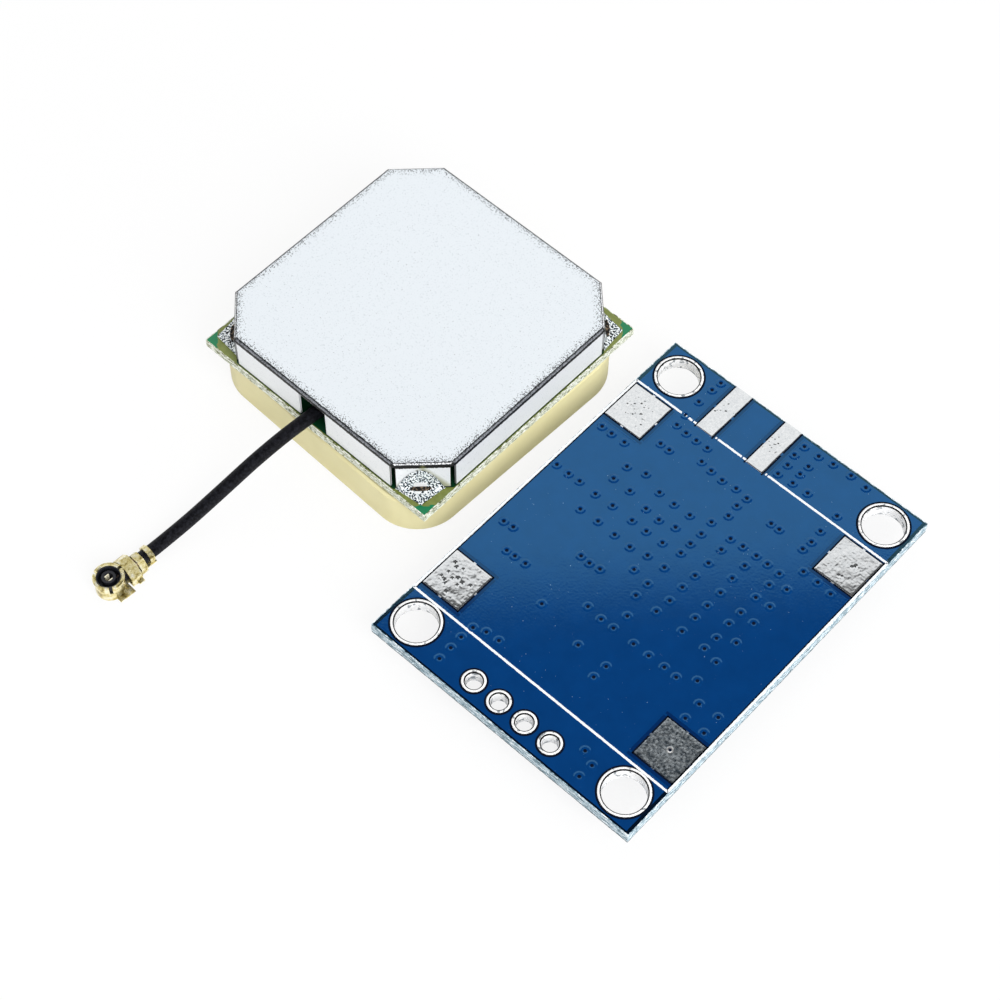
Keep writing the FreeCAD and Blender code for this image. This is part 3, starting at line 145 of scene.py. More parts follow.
seen = add_node(sky, "Mix", {"Factor": paths["Is Glossy Ray"], "A": 0.60, "B": cards},
                data_type="FLOAT")
strength = add_node(sky, "Mix", {"Factor": paths["Is Camera Ray"], "A": seen, "B": 1.0},
                    data_type="FLOAT")
fill(sky, sky.nodes["Background"], {"Strength": strength, "Color": (1, 1, 1, 1)})

floor_span = 2.0
floor_mesh = bpy.data.meshes.new("floor")
floor_mesh.from_pydata([(-floor_span, -floor_span, 0), (floor_span, -floor_span, 0),
                        (floor_span, floor_span, 0), (-floor_span, floor_span, 0)], [],
                       [(0, 1, 2, 3)])
floor = bpy.data.objects.new("floor", floor_mesh)
bpy.context.scene.collection.objects.link(floor)
floor_material, tree, shader = new_material("white paper")
fill(tree, shader, {"Base Color": linear("F4F4F4"), "Roughness": 0.9})
paths = add_node(tree, "LightPath").node.outputs
glow = add_node(tree, "Emission", {"Color": (1, 1, 1, 1), "Strength": 1.0})
share = add_node(tree, "Math", {0: paths["Is Camera Ray"], 1: 0.86}, operation="MULTIPLY")
mixed = add_node(tree, "MixShader", {0: share, 1: shader.outputs["BSDF"], 2: glow})
fill(tree, tree.nodes["Material Output"], {"Surface": mixed})
floor_mesh.materials.append(floor_material)

for name, place, side, power in (("overhead", (-0.25, 0.2, 0.7), 0.7, 0.6),
                                 ("near side", (0.50, -0.20, 0.55), 0.45, 4.1),
                                 ("low side", (0.57, -0.05, 0.19), 0.30, 1.1)):
    lamp_data = bpy.data.lights.new(name, "AREA")
    lamp_data.size = side
    lamp_data.energy = power
    lamp = bpy.data.objects.new(name, lamp_data)
    bpy.context.scene.collection.objects.link(lamp)
    lamp.location = place
    lamp.rotation_euler = (-Vector(place)).to_track_quat("-Z", "Y").to_euler()
    lamp.visible_glossy = False


# Main board
# Glass fibre and resin with a glossy blue solder mask on both faces. The mask was poured on
# wet and cured, so it has a fine orange peel. A dark line is painted along the sawn rim, as painted
# reflection of the dim room where the mask rounds off, and just inside the printed side lines, as
# painted shade beside the ink.

board_low, board_high = (np.array(corner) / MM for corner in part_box("main_board"))
board_top = board_high[2]
mottle_size = 1.4
peel_size = 0.17
peel_depth = 0.002
dust_size = 0.11
rim_width = 0.19
ink_side_inset = 0.12


def cloud_tone(tree, size, stops, detail=2.0, coarseness=0.5):
    """A noise with clouds of a size in mm, or of three sizes along X, Y and Z, and its colour.

    Stops are the noise's values, each with the colour it has there.
    """
    place = add_node(tree, "TexCoord").node.outputs["Object"]
    scale = (1 / (np.broadcast_to(size, 3) * MM)).tolist()
    stretched = add_node(tree, "Mapping", {"Vector": place, "Scale": scale})
    noise = add_node(tree, "TexNoise", {"Vector": stretched, "Scale": 1.0, "Detail": detail,
                                        "Roughness": coarseness})
    tone = add_node(tree, "ValToRGB", {"Fac": noise})
    ramp = tone.node.color_ramp.elements
    for end, (position, colour) in ((ramp[0], stops[0]), (ramp[1], stops[-1])):
        end.position = position
        end.color = linear(colour)
    for position, colour in stops[1:-1]:
        ramp.new(position).color = linear(colour)
    return noise, tone


# A cured mask has an index near 1.6: it mirrors the room, and deeper blue shows through it.
mask_material, tree, shader = new_material("glossy blue solder mask")
place = add_node(tree, "TexCoord").node.outputs["Object"]
tone = cloud_tone(tree, mottle_size, ((0, "043369"), (1, "063C78")), detail=3.0)[1]
dust = add_node(tree, "TexNoise", {"Vector": place, "Scale": 1 / (dust_size * MM), "Detail": 0.0})
dust_share = add_node(tree, "MapRange", {"Value": dust, "From Min": 0.86, "From Max": 0.89,
                                         "To Max": 0.7})
dusty = add_node(tree, "Mix", {"Factor": dust_share, 6: tone, 7: linear("B9D6EE")}, data_type="RGBA")
# Painted reflection and painted shade: the mask is painted nearly black along the board's rim and just inside
# the printed side lines.
from_centre = add_node(tree, "VectorMath", {0: place}, operation="ABSOLUTE")
painted_shade_edge = (board_high - [ink_side_inset, 0, 0]) * MM
to_rim = add_node(tree, "VectorMath", {0: painted_shade_edge.tolist(), 1: from_centre}, operation="SUBTRACT")
inset = add_node(tree, "SeparateXYZ", {"Vector": to_rim}).node.outputs
nearest = add_node(tree, "Math", {0: inset["X"], 1: inset["Y"]}, operation="MINIMUM")
in_painted_rim_shade = add_node(tree, "Math", {0: nearest, 1: rim_width * MM}, operation="LESS_THAN")
mask_colour = add_node(tree, "Mix", {"Factor": in_painted_rim_shade, 6: dusty, 7: linear("020C1E")}, data_type="RGBA")
peel = add_node(tree, "TexNoise", {"Vector": place, "Scale": 1 / (peel_size * MM), "Detail": 2.0})
ripple = add_node(tree, "Bump", {"Strength": 1.0, "Distance": peel_depth * MM, "Height": peel})
fill(tree, shader, {"Base Color": mask_colour, "Normal": ripple, "Roughness": 0.055, "IOR": 1.6,
                    "Specular IOR Level": 0.8, "Specular Tint": linear("8CE2FF")})


def dress(material, *nodes):
    """Gives solids of the model their finish."""
    for node in nodes:
        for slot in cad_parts[node].material_slots:
            slot.material = material


dress(mask_material, "main_board", "receiver_board")


# Sawn rims of the main board
# Where the panel was sawn apart, pale broken fibres and resin dust stand out of the cut, with
# dark holes where a bundle of fibres pulled out.

fibre_length = 0.55
fibre_height = 0.09
rim_ragged = 0.045
rim_step = 0.09

# Broken glass fibre scatters light, so it is pale and dull, in streaks along the cut.
fibre_material, tree, shader = new_material("sawn glass fibre and resin")
fibre_tone = cloud_tone(tree, (fibre_length, fibre_length, fibre_height), (
    (0.36, "1E2C33"), (0.43, "6D8792"), (0.52, "A9C0CC"), (0.60, "F2F8FB")), 4.0, 0.75)[1]
place = add_node(tree, "TexCoord").node.outputs["Object"]
# The cut is painted darker towards its bottom.
cut_height = add_node(tree, "SeparateXYZ", {"Vector": place}).node.outputs["Z"]
low_darkening = add_node(tree, "MapRange", {"Value": cut_height, "From Min": (board_low[2] + 0.22) * MM,
                                         "From Max": (board_low[2] + 0.05) * MM, "To Max": 0.8})
fibre_colour = add_node(tree, "Mix", {"Factor": low_darkening, 6: fibre_tone, 7: linear("34383A")},
                        data_type="RGBA")
fill(tree, shader, {"Base Color": fibre_colour, "Roughness": 0.85})


def grid_faces(rows, columns, wrap=False, flip=False):
    """Quads of a grid of points stored row by row, closed across the columns if wrapped."""
    across = columns if wrap else columns - 1
    row, column = np.meshgrid(np.arange(rows - 1), np.arange(across), indexing="ij")
    following = (column + 1) % columns
    quads = np.stack([row * columns + column, row * columns + following,
                      (row + 1) * columns + following, (row + 1) * columns + column], -1)
    quads = quads.reshape(-1, 4)
    return quads[:, ::-1] if flip else quads


def make_piece(name, parts, material, smooth=True):
    """Joins parts, each a point array in millimetres with its lists of faces, into one piece."""
    points, faces, start = [], [], 0
    for part_points, *face_sets in parts:
        points.append(np.asarray(part_points, float).reshape(-1, 3) * MM)
        for face_set in face_sets:
            faces += (np.asarray(face_set) + start).tolist()
        start += len(points[-1])
    mesh = bpy.data.meshes.new(name)
    mesh.from_pydata(np.concatenate(points), [], faces)
    mesh.polygons.foreach_set("use_smooth", [smooth] * len(faces))
    mesh.materials.append(material)
    mesh.update()
    piece = bpy.data.objects.new(name, mesh)
    bpy.context.scene.collection.objects.link(piece)
    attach(piece, "root")
    return piece


def grain(x, y, cell, seed):
    """Smooth noise from 0 to 1: random values on a square lattice, blended between its points."""
    chance = np.random.default_rng(seed)
    lattice = chance.random((64, 64))
    u, v = x / cell, y / cell
    i, j = np.floor(u).astype(int), np.floor(v).astype(int)
    a, b = u - i, v - j
    a, b = a * a * (3 - 2 * a), b * b * (3 - 2 * b)
    lower = lattice[i % 64, j % 64] * (1 - a) + lattice[(i + 1) % 64, j % 64] * a
    upper = lattice[i % 64, (j + 1) % 64] * (1 - a) + lattice[(i + 1) % 64, (j + 1) % 64] * a
    return lower * (1 - b) + upper * b


def sawn_rim(corners, low, high, ragged, seed):
    """A closed band round an outline: a section that wraps the cut, pushed out by a noise.

    The section has a narrow lip on each face and rows down the cut. A point of a row stands
    out by ragged times the noise at its distance along the outline and its height.
    """
    corners = np.array(corners, float)
    sides = np.roll(corners, -1, 0) - corners
    lengths = np.linalg.norm(sides, axis=1)
    outward = np.column_stack([sides[:, 1], -sides[:, 0]]) / lengths[:, None]
    lines, ways = [], []
    for side, (corner, step, length) in enumerate(zip(corners, sides, lengths)):
        count = int(length / rim_step)
        share = np.arange(count)[:, None] / count
        lines.append(corner + share * step)
        way = np.repeat(outward[side][None], count, 0)
        way[0] += outward[side - 1]
        ways.append(way)
    line, way = np.concatenate(lines), np.concatenate(ways)
    run = np.arange(len(line)) * rim_step
    levels = np.linspace(high, low, 11)
    rows = []
    for level in levels:
        noise = 0.6 * grain(run, 0 * run + level, 0.11, seed) + \
            0.4 * grain(run, 0 * run + level, 0.45, seed + 1)
        stand = 0.006 + ragged * noise
        rows.append(np.column_stack([line + way * stand[:, None], np.full(len(line), level)]))
    lip = 0.03 * (0.6 + 0.8 * grain(run, 0 * run, 0.2, seed + 2))
    for position, level in ((0, high + 0.005), (len(rows) + 1, low - 0.003)):
        rows.insert(position, np.column_stack([line - way * lip[:, None], np.full(len(line), level)]))
    rows.append(rows[0])
    return np.stack(rows), grid_faces(len(rows), len(line), wrap=True, flip=True)


make_piece("sawn_rims", [sawn_rim([(board_low[0], board_low[1]), (board_high[0], board_low[1]),
                                   (board_high[0], board_high[1]), (board_low[0], board_high[1])],
                                  board_low[2], board_high[2], rim_ragged, 60)],
           fibre_material, smooth=False)


# Vias under the mask
# Small plated holes that the mask covers: each shows as a low round rim with a pit in it,
# where the mask sags into the hole. The pit is a flat disc painted nearly black, painted shade
# of the hollow.

via_places = np.array([
    (-7.5, 17.2), (-7.6, 16.2), (-7.65, 14.6), (-7.6, 12.9), (-7.5, 11.7), (-6.45, 11.6),
    (-5.4, 11.6), (-4.3, 11.65), (-3.8, 10.35), (-2.7, 10.2), (-1.5, 10.1), (-0.2, 10.25),
    (-7.3, 9.45), (-6.4, 9.45), (-11.8, 7.55), (-10.8, 7.55), (-9.5, 7.6), (-6.3, 6.5),
    (-7.85, 6.0), (-4.4, 5.9), (-2.85, 5.85), (-1.3, 5.9), (-7.9, 4.45), (-6.2, 4.45),
    (-1.4, 4.3), (1.3, 16.95), (2.7, 17.0), (4.0, 17.2), (5.7, 17.3), (7.25, 17.2),
    (1.2, 15.8), (2.7, 15.7), (1.4, 14.7), (2.65, 14.7), (1.35, 13.55), (2.75, 13.65),
    (4.2, 13.7), (7.2, 13.6), (7.1, 11.65), (7.2, 10.4), (7.1, 9.45), (1.0, 10.1),
    (3.85, 9.6), (4.65, 9.6), (0.85, 9.05), (0.95, 7.9), (8.4, 7.9), (9.8, 7.9),
    (11.15, 7.75), (0.35, 6.55), (2.4, 6.4), (3.55, 6.5), (4.85, 6.55), (5.95, 6.55),
    (7.15, 6.5), (8.45, 5.8), (0.45, 5.2), (2.5, 5.15), (4.75, 5.25), (7.2, 5.2),
    (-4.2, 4.05), (-2.8, 3.95), (-12.05, 2.4), (-10.8, 2.4), (-9.7, 2.45), (-8.0, 2.4),
    (-6.3, 2.5), (-4.3, 2.5), (-2.85, 2.5), (-1.25, 2.55), (-7.95, 0.55), (-6.2, 0.65),
    (-4.45, 0.6), (-2.85, 0.55), (-1.35, 0.9), (-1.3, -0.75), (-5.1, -2.6), (-4.2, -2.65),
    (-3.25, -2.5), (-11.6, -4.3), (-10.7, -4.2), (-9.65, -6.1), (-8.85, -6.05),
    (-7.8, -6.0), (-1.75, -5.6), (-0.3, -5.75), (0.4, 3.95), (2.55, 3.55), (4.75, 3.75),
    (7.15, 3.65), (8.45, 3.75), (0.4, 2.8), (2.5, 2.0), (4.9, 2.15), (7.15, 1.85),
    (8.45, 1.8), (0.3, 0.95), (2.45, 0.55), (4.9, 0.6), (7.1, 0.5), (8.55, -0.4),
    (0.3, -1.0), (2.5, -1.0), (4.9, -0.85), (7.2, -1.1), (0.3, -2.4), (2.35, -2.4),
    (4.9, -2.4), (7.1, -2.4), (8.5, -2.7), (1.0, -4.2), (8.45, -4.85), (0.9, -5.7),
    (2.9, -5.7), (4.4, -5.7), (5.9, -5.65), (7.1, -5.7), (9.8, -6.25), (11.55, -6.15),
    (-4.5, -7.8), (-0.1, -8.6), (2.65, -8.55), (2.55, -9.85), (9.8, -7.85), (11.6, -7.85),
    (-5.95, -12.45), (-4.75, -12.35), (-6.95, -12.85), (-7.05, -14.05), (-7.0, -15.25),
    (-7.0, -16.5), (6.1, -14.85), (7.25, -15.4), (7.15, -16.7)])
via_foot_radius = 0.46
via_shoulder_radius = 0.32
via_brow_radius = 0.22
via_pit_radius = 0.14
via_rim_height = 0.035
via_sides = 28


def turned(centre, radii, heights, sides):
    """Rings of points about an upright axis, one for each radius and its height."""
    angle = np.linspace(0, 2 * math.pi, sides, endpoint=False)
    radii, heights = np.asarray(radii)[:, None], np.asarray(heights)[:, None]
    return np.stack([centre[0] + radii * np.cos(angle), centre[1] + radii * np.sin(angle),
                     heights + 0 * angle], -1)


def disc(centre, radii, heights, sides):
    """A round cap of such rings, their heights counted from its centre, closed at its pole."""
    rings = turned(centre, radii, centre[2] + np.asarray(heights), sides)
    return (rings, grid_faces(len(radii), sides, wrap=True),
            [list(range((len(radii) - 1) * sides, len(radii) * sides))])


def via_height(radius):
    """Flat from brow to shoulder, with half a cosine down to the foot and one into the pit."""
    outside = (radius - via_shoulder_radius) / (via_foot_radius - via_shoulder_radius)
    inside = (via_brow_radius - radius) / (via_brow_radius - via_pit_radius * 0.6)
    fall = np.clip(np.maximum(outside, inside), 0, 1)
    return via_rim_height * (0.5 + 0.5 * np.cos(math.pi * fall))


def clouded(name, size, stops, detail=2.0, coarseness=0.5, roughness=0.5, relief=(), **others):
    """A material in the colours of cloud_tone. The noise also sets the relief, a strength and
    a depth in mm, and runs the roughness between two values where it is a pair.
    """
    material, tree, shader = new_material(name)
    noise, tone = cloud_tone(tree, size, stops, detail, coarseness)
    if np.ndim(roughness):
        roughness = add_node(tree, "MapRange", {"Value": noise, "To Min": roughness[0],
                                                "To Max": roughness[1]})
    if relief:
        strength, depth = relief
        bump = add_node(tree, "Bump", {"Strength": strength, "Distance": depth * MM, "Height": noise})
        fill(tree, shader, {"Normal": bump})
    fill(tree, shader, {"Base Color": tone, "Roughness": roughness})
    fill(tree, shader, {name.replace("_", " "): value for name, value in others.items()})
    return material


# The mask that sags into a hole is thick, and the shade of the hollow is painted into it, so its
# blue is nearly black.
pit_shade_material = clouded("blue solder mask in a via, painted dark for shade", peel_size, ((0, "010716"), (1, "031230")),
                       roughness=0.4, Specular_IOR_Level=0.1)

radii = np.concatenate([np.linspace(via_foot_radius, via_pit_radius, 11),
                        np.linspace(via_pit_radius * 0.85, via_pit_radius * 0.3, 3)])
chance = np.random.default_rng(5)
vias, pits = [], []
for x, y in via_places:
    swell = chance.uniform(0.55, 1.1)
    vias.append(disc((x, y, board_top + 0.001), radii, swell * via_height(radii), via_sides))
    pit_radii = np.array([via_pit_radius, via_pit_radius * 0.4])
    pits.append(disc((x, y, board_top + 0.004), pit_radii, via_height(pit_radii), via_sides))
make_piece("vias", vias, mask_material)
make_piece("via_pits", pits, pit_shade_material)


# Copper clearance round the pads
# The mask stops just short of each pad, and bare laminate shows there as a nearly black line,
# partly painted shade of the mask's wall.
# In the middle of a side a spoke of tinned copper crosses it. Further out the copper plane
# ends in a step, which lifts the mask.

# Resin-rich laminate soaks up the light, and the shade of the mask's wall is painted into its
# colour as well.
clearance_shade_material = clouded("bare laminate in the gap of the mask", 0.12, ((0, "010612"), (1, "04122B")),
                         roughness=0.7, Specular_IOR_Level=0.1)

# Between the gap and the copper plane the mask lies on bare laminate, so its blue is darker.
moat_material = clouded("blue solder mask over bare laminate", 0.3, ((0, "03204F"), (1, "042B5F")),
                        roughness=0.055, IOR=1.6, Specular_IOR_Level=0.7,
                        Specular_Tint=linear("8CE2FF"))


ragged_step = 0.12


def bar(start, end, width, low, high, ragged=0.0, seed=0):
    """A flat bar from start to end with a trapezoid section, its sides ragged by a noise."""
    start, end = np.array(start, float), np.array(end, float)
    length = np.linalg.norm(end - start)
    count = max(2, int(length / ragged_step) if ragged else 2)
    along = np.linspace(0, 1, count)
    heading = (end - start) / length
    side = np.array([-heading[1], heading[0]])
    chance = np.random.default_rng(seed)
    wobble = ragged * chance.normal(size=(2, count))
    line = start + along[:, None] * (end - start)
    left = line + side * (width / 2 + wobble[0])[:, None]
    rest = line - side * (width / 2 + wobble[1])[:, None]
    section = [np.column_stack([edge, np.full(count, level)])
               for edge, level in ((rest, low), (rest, high), (left, high), (left, low))]
    points = np.stack(section, 1)
    last = (count - 1) * 4
    return (points, grid_faces(count, 4, wrap=True), [[0, 1, 2, 3]],
            [[last + 3, last + 2, last + 1, last]])


clear_width = 0.15
spoke_width = 0.3
step_near = 0.40
step_far = 0.52
clear_low = board_top - 0.01
clear_high = board_top + 0.004
step_high = board_top + 0.02
moat_high = board_top + 0.003
ink_shade_across = 12.55
frame_line_ends = (-13.28, 12.85)
ink_shade_width = 0.11
pad_low, pad_high = (np.array(corner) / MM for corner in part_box("corner_pads"))
pad_across, pad_along = 3.65, 3.85
edge_low, edge_high = (np.array(corner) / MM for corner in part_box("edge_pads"))
edge_across = 1.62
edge_setback = 0.15


def gap_beside(start, end, side):
    """Clearance along one side of a pad, which lies to the other side, broken by a spoke."""
    start, end, side = (np.array(place, float) for place in (start, end, side))
    heading = (end - start) / np.linalg.norm(end - start)
    middle = (start + end) / 2
    offset = side * clear_width / 2
    over, half = heading * clear_width, heading * spoke_width / 2
    return [bar(start + offset - over, middle + offset - half, clear_width, clear_low, clear_high),
            bar(middle + offset + half, end + offset + over, clear_width, clear_low, clear_high)]


def strip(start, end, side, near, far, high, reach=0.0):
    """A bar beside one side of a pad, from near to far off it, that starts reach early."""
    start, end, side = (np.array(place, float) for place in (start, end, side))
    heading = (end - start) / np.linalg.norm(end - start)
    offset = side * (near + far) / 2
    return bar(start + offset - heading * reach, end + offset, far - near, clear_low, high)


clear_bars, step_bars, moat_bars, pad_boxes = [], [], [], []
for across in (-1, 1):
    for along in (-1, 1):
        outer_x, outer_y = pad_high[0] * across, pad_high[1] * along
        inner_x, inner_y = outer_x - pad_across * across, outer_y - pad_along * along
        pad_boxes.append((min(outer_x, inner_x), max(outer_x, inner_x),
                          min(outer_y, inner_y), max(outer_y, inner_y)))
        inner_side = ((inner_x, inner_y), (inner_x, outer_y), (-across, 0))
        middle_side = ((inner_x, inner_y), (outer_x, inner_y), (0, -along))
        end_side = ((inner_x, outer_y), (outer_x, outer_y), (0, along))
        outer_side = ((outer_x, inner_y), (outer_x, outer_y), (across, 0))
        for side in (inner_side, middle_side, end_side, outer_side):
            clear_bars += gap_beside(*side)
        for side in (inner_side, middle_side):
            step_bars.append(strip(*side, step_near, step_far, step_high))
        moat_bars.append(strip(*inner_side, clear_width, step_near, moat_high))
        for side in (middle_side, end_side):
            moat_bars.append(strip(*side, clear_width, step_near, moat_high, reach=step_near))
for start_x in (edge_low[0], edge_high[0] - edge_across):
    for x, way in ((start_x, -1), (start_x + edge_across, 1)):
        side = ((x, edge_low[1]), (x, edge_high[1] - edge_setback), (way, 0))
        clear_bars += gap_beside(*side)
        step_bars.append(strip(*side, step_near, step_far, step_high))
        moat_bars.append(strip(*side, clear_width, step_near, moat_high))
# Painted shade: a line of the gap's black is painted just inside each printed side line.
for across in (-ink_shade_across, ink_shade_across):
    clear_bars.append(bar(*((across, along) for along in frame_line_ends), ink_shade_width,
                          clear_low, clear_high))
for name, bars, material in (("copper_clearance", clear_bars, clearance_shade_material),
                             ("copper_steps", step_bars, mask_material),
                             ("mask_moats", moat_bars, moat_material)):
    make_piece(name, bars, material, smooth=False)


# Printed lines
# White ink, screened on over the mask: a frame round the receiver's place, which breaks at
# the two edge pads and at a via.

# Ink is dull and white, a little grey where the screen left it thin.
ink_material = clouded("white screened ink", 0.33, ((0, "DCE3EA"), (1, "FFFFFF")), detail=3.0,
                       roughness=0.6)
ink_width = 0.19
ink_side = 12.7
ink_bottom, ink_top = frame_line_ends
ink_low = board_top - 0.01
ink_high = board_top + 0.018
ink_runs = [((-ink_side, ink_bottom), (-ink_side, ink_top)),
            ((ink_side, ink_top), (ink_side, ink_bottom)),
            ((-ink_side, ink_bottom), (ink_side, ink_bottom))]
for start_x, end_x in ((-ink_side, -7.75), (-7.5, -6.45), (-4.45, -1.35), (0.65, ink_side)):
    ink_runs.append(((start_x, ink_top), (end_x, ink_top)))
ink_bars = [bar(start, end, ink_width, ink_low, ink_high, ragged=0.007, seed=number)
            for number, (start, end) in enumerate(ink_runs)]
make_piece("printed_lines", ink_bars, ink_material, smooth=False)


# Bare pads
# Copper with a coat of tin from a bath of molten solder, blown level with hot air. It is
# bright as a mirror, and the ripples and pits in which it froze catch white card and dim room.

tin_tarnish_size = 0.17
dull_reach = 2.9
ring_reach = 0.28

# Tin mirrors nearly all the light, and it is slightly warm; a thin oxide dulls it in clouds.
tin_material, tree, shader = new_material("hot-air levelled tin")
place = add_node(tree, "TexCoord").node.outputs["Object"]
tarnish, tin_tone = cloud_tone(tree, tin_tarnish_size, ((0, "C6CBCF"), (1, "FAFBFB")), detail=3.0)
tin_rough = add_node(tree, "MapRange", {"Value": tarnish, "To Min": 0.04, "To Max": 0.10})

# The pad over the open via froze last, so it is dull and clouded in two greys, with a ring of
# bright tin round the via.
dull_pad = pad_boxes[2]
dull_centre = [(dull_pad[0] + dull_pad[1]) / 2 * MM, (dull_pad[2] + dull_pad[3]) / 2 * MM,
               pad_high[2] * MM]
from_dull = add_node(tree, "VectorMath", {0: place, 1: dull_centre}, operation="DISTANCE")
is_dull = add_node(tree, "Math", {0: from_dull, 1: dull_reach * MM}, operation="LESS_THAN")
dull_tone = cloud_tone(tree, 0.22, ((0.34, "4E5A65"), (0.66, "CDD5DA")), detail=3.0)[1]
on_ring = add_node(tree, "Math", {0: from_dull, 1: ring_reach * MM}, operation="LESS_THAN")
ring_tone = add_node(tree, "Mix", {"Factor": on_ring, 6: dull_tone, 7: linear("FCFDFD")},
                     data_type="RGBA")
pad_tone = add_node(tree, "Mix", {"Factor": is_dull, 6: tin_tone, 7: ring_tone}, data_type="RGBA")
pad_rough = add_node(tree, "Math", {0: is_dull, 1: 0.2, 2: tin_rough}, operation="MULTIPLY_ADD")
fill(tree, shader, {"Base Color": pad_tone, "Roughness": pad_rough, "Metallic": 0.93})


def skirted(top, low):
    """A grid of points with walls from its rim down to low, and a floor."""
    rim = np.concatenate([top[:, 0], top[-1, 1:], top[-2::-1, -1], top[0, -2:0:-1]])
    foot = rim.copy()
    foot[:, 2] = low
    count = len(rim)
    return [(top, grid_faces(*top.shape[:2], flip=True)),
            (np.stack([rim, foot]), grid_faces(2, count, wrap=True, flip=True),
             [list(range(count, 2 * count))])]


def relief_pad(box, low, high, relief, step=0.05):
    """A pad: a grid whose height is relief(x, y) above high, with sides down to low.

    x and y are counted from the pad's middle, and the relief fades out at its rim.
    """
    x = np.linspace(box[0], box[1], int((box[1] - box[0]) / step) + 1)
    y = np.linspace(box[2], box[3], int((box[3] - box[2]) / step) + 1)
    across, along = np.meshgrid(x, y, indexing="ij")
    inset = np.minimum(np.minimum(across - box[0], box[1] - across),
                       np.minimum(along - box[2], box[3] - along))
    dome = np.clip(inset / 0.08, 0, 1)
    top = high - 0.005 * (1 - dome) ** 2 + \
        relief(across - (box[0] + box[1]) / 2, along - (box[2] + box[3]) / 2) * dome
    return skirted(np.stack([across, along, top], -1), low)


def frozen_tin(seed, swell, ripple, fine, pits, pit_depth, pit_spread, lean=0.0, ring=0.0):
    """Height in mm: a sum of noises 0.8, 0.3 and 0.13 mm across, with round pits in it.

    A pit lowers the tin by a Gaussian of its radius. A ring is a raised circle of 0.22 mm
    radius round the middle, where the tin lies over a via. The whole pad may lean a little.
    """
    chance = np.random.default_rng(seed)
    centres = chance.normal(0, pit_spread, (pits, 2))
    sizes = chance.uniform(0.05, 0.11, pits)

    def relief(x, y):
        height = swell * (grain(x + 9, y + 9, 0.8, seed) - 0.5)
        height = height + ripple * (grain(x + 9, y + 9, 0.3, seed + 1) - 0.5)
        height = height + fine * (grain(x + 9, y + 9, 0.13, seed + 2) - 0.5) + lean * (x - y)
        for (centre_x, centre_y), radius in zip(centres, sizes):
            away = np.hypot(x - centre_x, y - centre_y) / radius
            height = height - pit_depth * np.exp(-away ** 2)
        away = np.hypot(x, y)
        return height + ring * np.exp(-((away - 0.22) / 0.07) ** 2) - \
            3 * ring * np.exp(-(away / 0.12) ** 2)

    return relief


tin_low, tin_high = pad_low[2], pad_high[2]
pad_reliefs = (frozen_tin(20, 0.002, 0.0022, 0.0016, 15, 0.08, 0.8),
               frozen_tin(21, 0.001, 0.0005, 0.0018, 90, 0.007, 0.75),
               frozen_tin(22, 0.003, 0.004, 0.009, 0, 0, 1, ring=0.008),
               frozen_tin(23, 0.002, 0.0015, 0.0014, 5, 0.06, 0.5, lean=0.0015))
pads = []
for box, relief in zip(pad_boxes, pad_reliefs):
    pads += relief_pad(box, tin_low, tin_high, relief)
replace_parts(make_piece("tinned_corner_pads", pads, tin_material), "corner_pads")
pads = []
for number, start_x in enumerate((edge_low[0], edge_high[0] - edge_across)):
    pads += relief_pad((start_x, start_x + edge_across, edge_low[1], edge_high[1]), tin_low,
                       tin_high, frozen_tin(40 + number, 0.003, 0.001, 0.0005, 14, 0.008, 0.5))
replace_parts(make_piece("tinned_edge_pads", pads, tin_material), "edge_pads")
dress(tin_material, "edge_lands")

# One corner pad lies over a via that the tin didn't fill.
# Its open hole is a flat disc painted nearly black: painted shade in the hole.
open_pad = pad_boxes[2]
open_via = ((open_pad[0] + open_pad[1]) / 2, (open_pad[2] + open_pad[3]) / 2, tin_high)
make_piece("pad_via", [disc(open_via, [0.13, 0.05], [0.004, 0.006], via_sides)], pit_shade_material)

nub_reach = 0.11
spoke_section = (spoke_width * 0.8, tin_low, tin_high - 0.01)
nubs = []
for left, right_side, near, far in pad_boxes:
    middle_x, middle_y = (left + right_side) / 2, (near + far) / 2
    inner_x, outward = (right_side, 1) if middle_x < 0 else (left, -1)
    nubs.append(bar((inner_x, middle_y), (inner_x + outward * nub_reach, middle_y), *spoke_section))
    for edge_y, outward in ((near, -1), (far, 1)):
        nubs.append(bar((middle_x, edge_y), (middle_x, edge_y + outward * nub_reach), *spoke_section))
make_piece("tinned_spokes", nubs, tin_material, smooth=False)


# Plated holes
# Copper plated through the board and over a ring on each face, then tinned with the pads.
# The tin drew back into a rounded lip where the ring turns into the hole.

# The same tin, but dulled by the drill's marks under it, so that it scatters more light. A dark
# line is painted in the turn of the lip: painted shade of the hole's edge.
lip_material, tree, shader = new_material("tin over a drilled hole")
place = add_node(tree, "TexCoord").node.outputs["Object"]
lip_tone = cloud_tone(tree, 0.45, ((0.36, "8E9498"), (0.42, "FDFDFD")), detail=3.0)[1]
lip_height = add_node(tree, "SeparateXYZ", {"Vector": place}).node.outputs["Z"]
lip_shade = add_node(tree, "MapRange", {"Value": lip_height, "From Min": (board_top - 0.14) * MM,
                                        "From Max": (board_top + 0.06) * MM})
lip_turn_shade = add_node(tree, "ValToRGB", {"Fac": lip_shade})
lip_turn_shade.node.color_ramp.elements[0].color = (1, 1, 1, 1)
for position, level in ((0.50, 1.0), (0.56, 0.01), (0.95, 0.01), (0.96, 1.0)):
    lip_turn_shade.node.color_ramp.elements.new(position).color = (level, level, level, 1)
lip_colour = add_node(tree, "Mix", {"Factor": 1.0, 6: lip_tone, 7: lip_turn_shade}, data_type="RGBA",
                      blend_type="MULTIPLY")
fill(tree, shader, {"Base Color": lip_colour, "Metallic": 0.15, "Roughness": 0.25})

ring_sides = 64
lip_radius = 0.18
ring_fall = 0.008


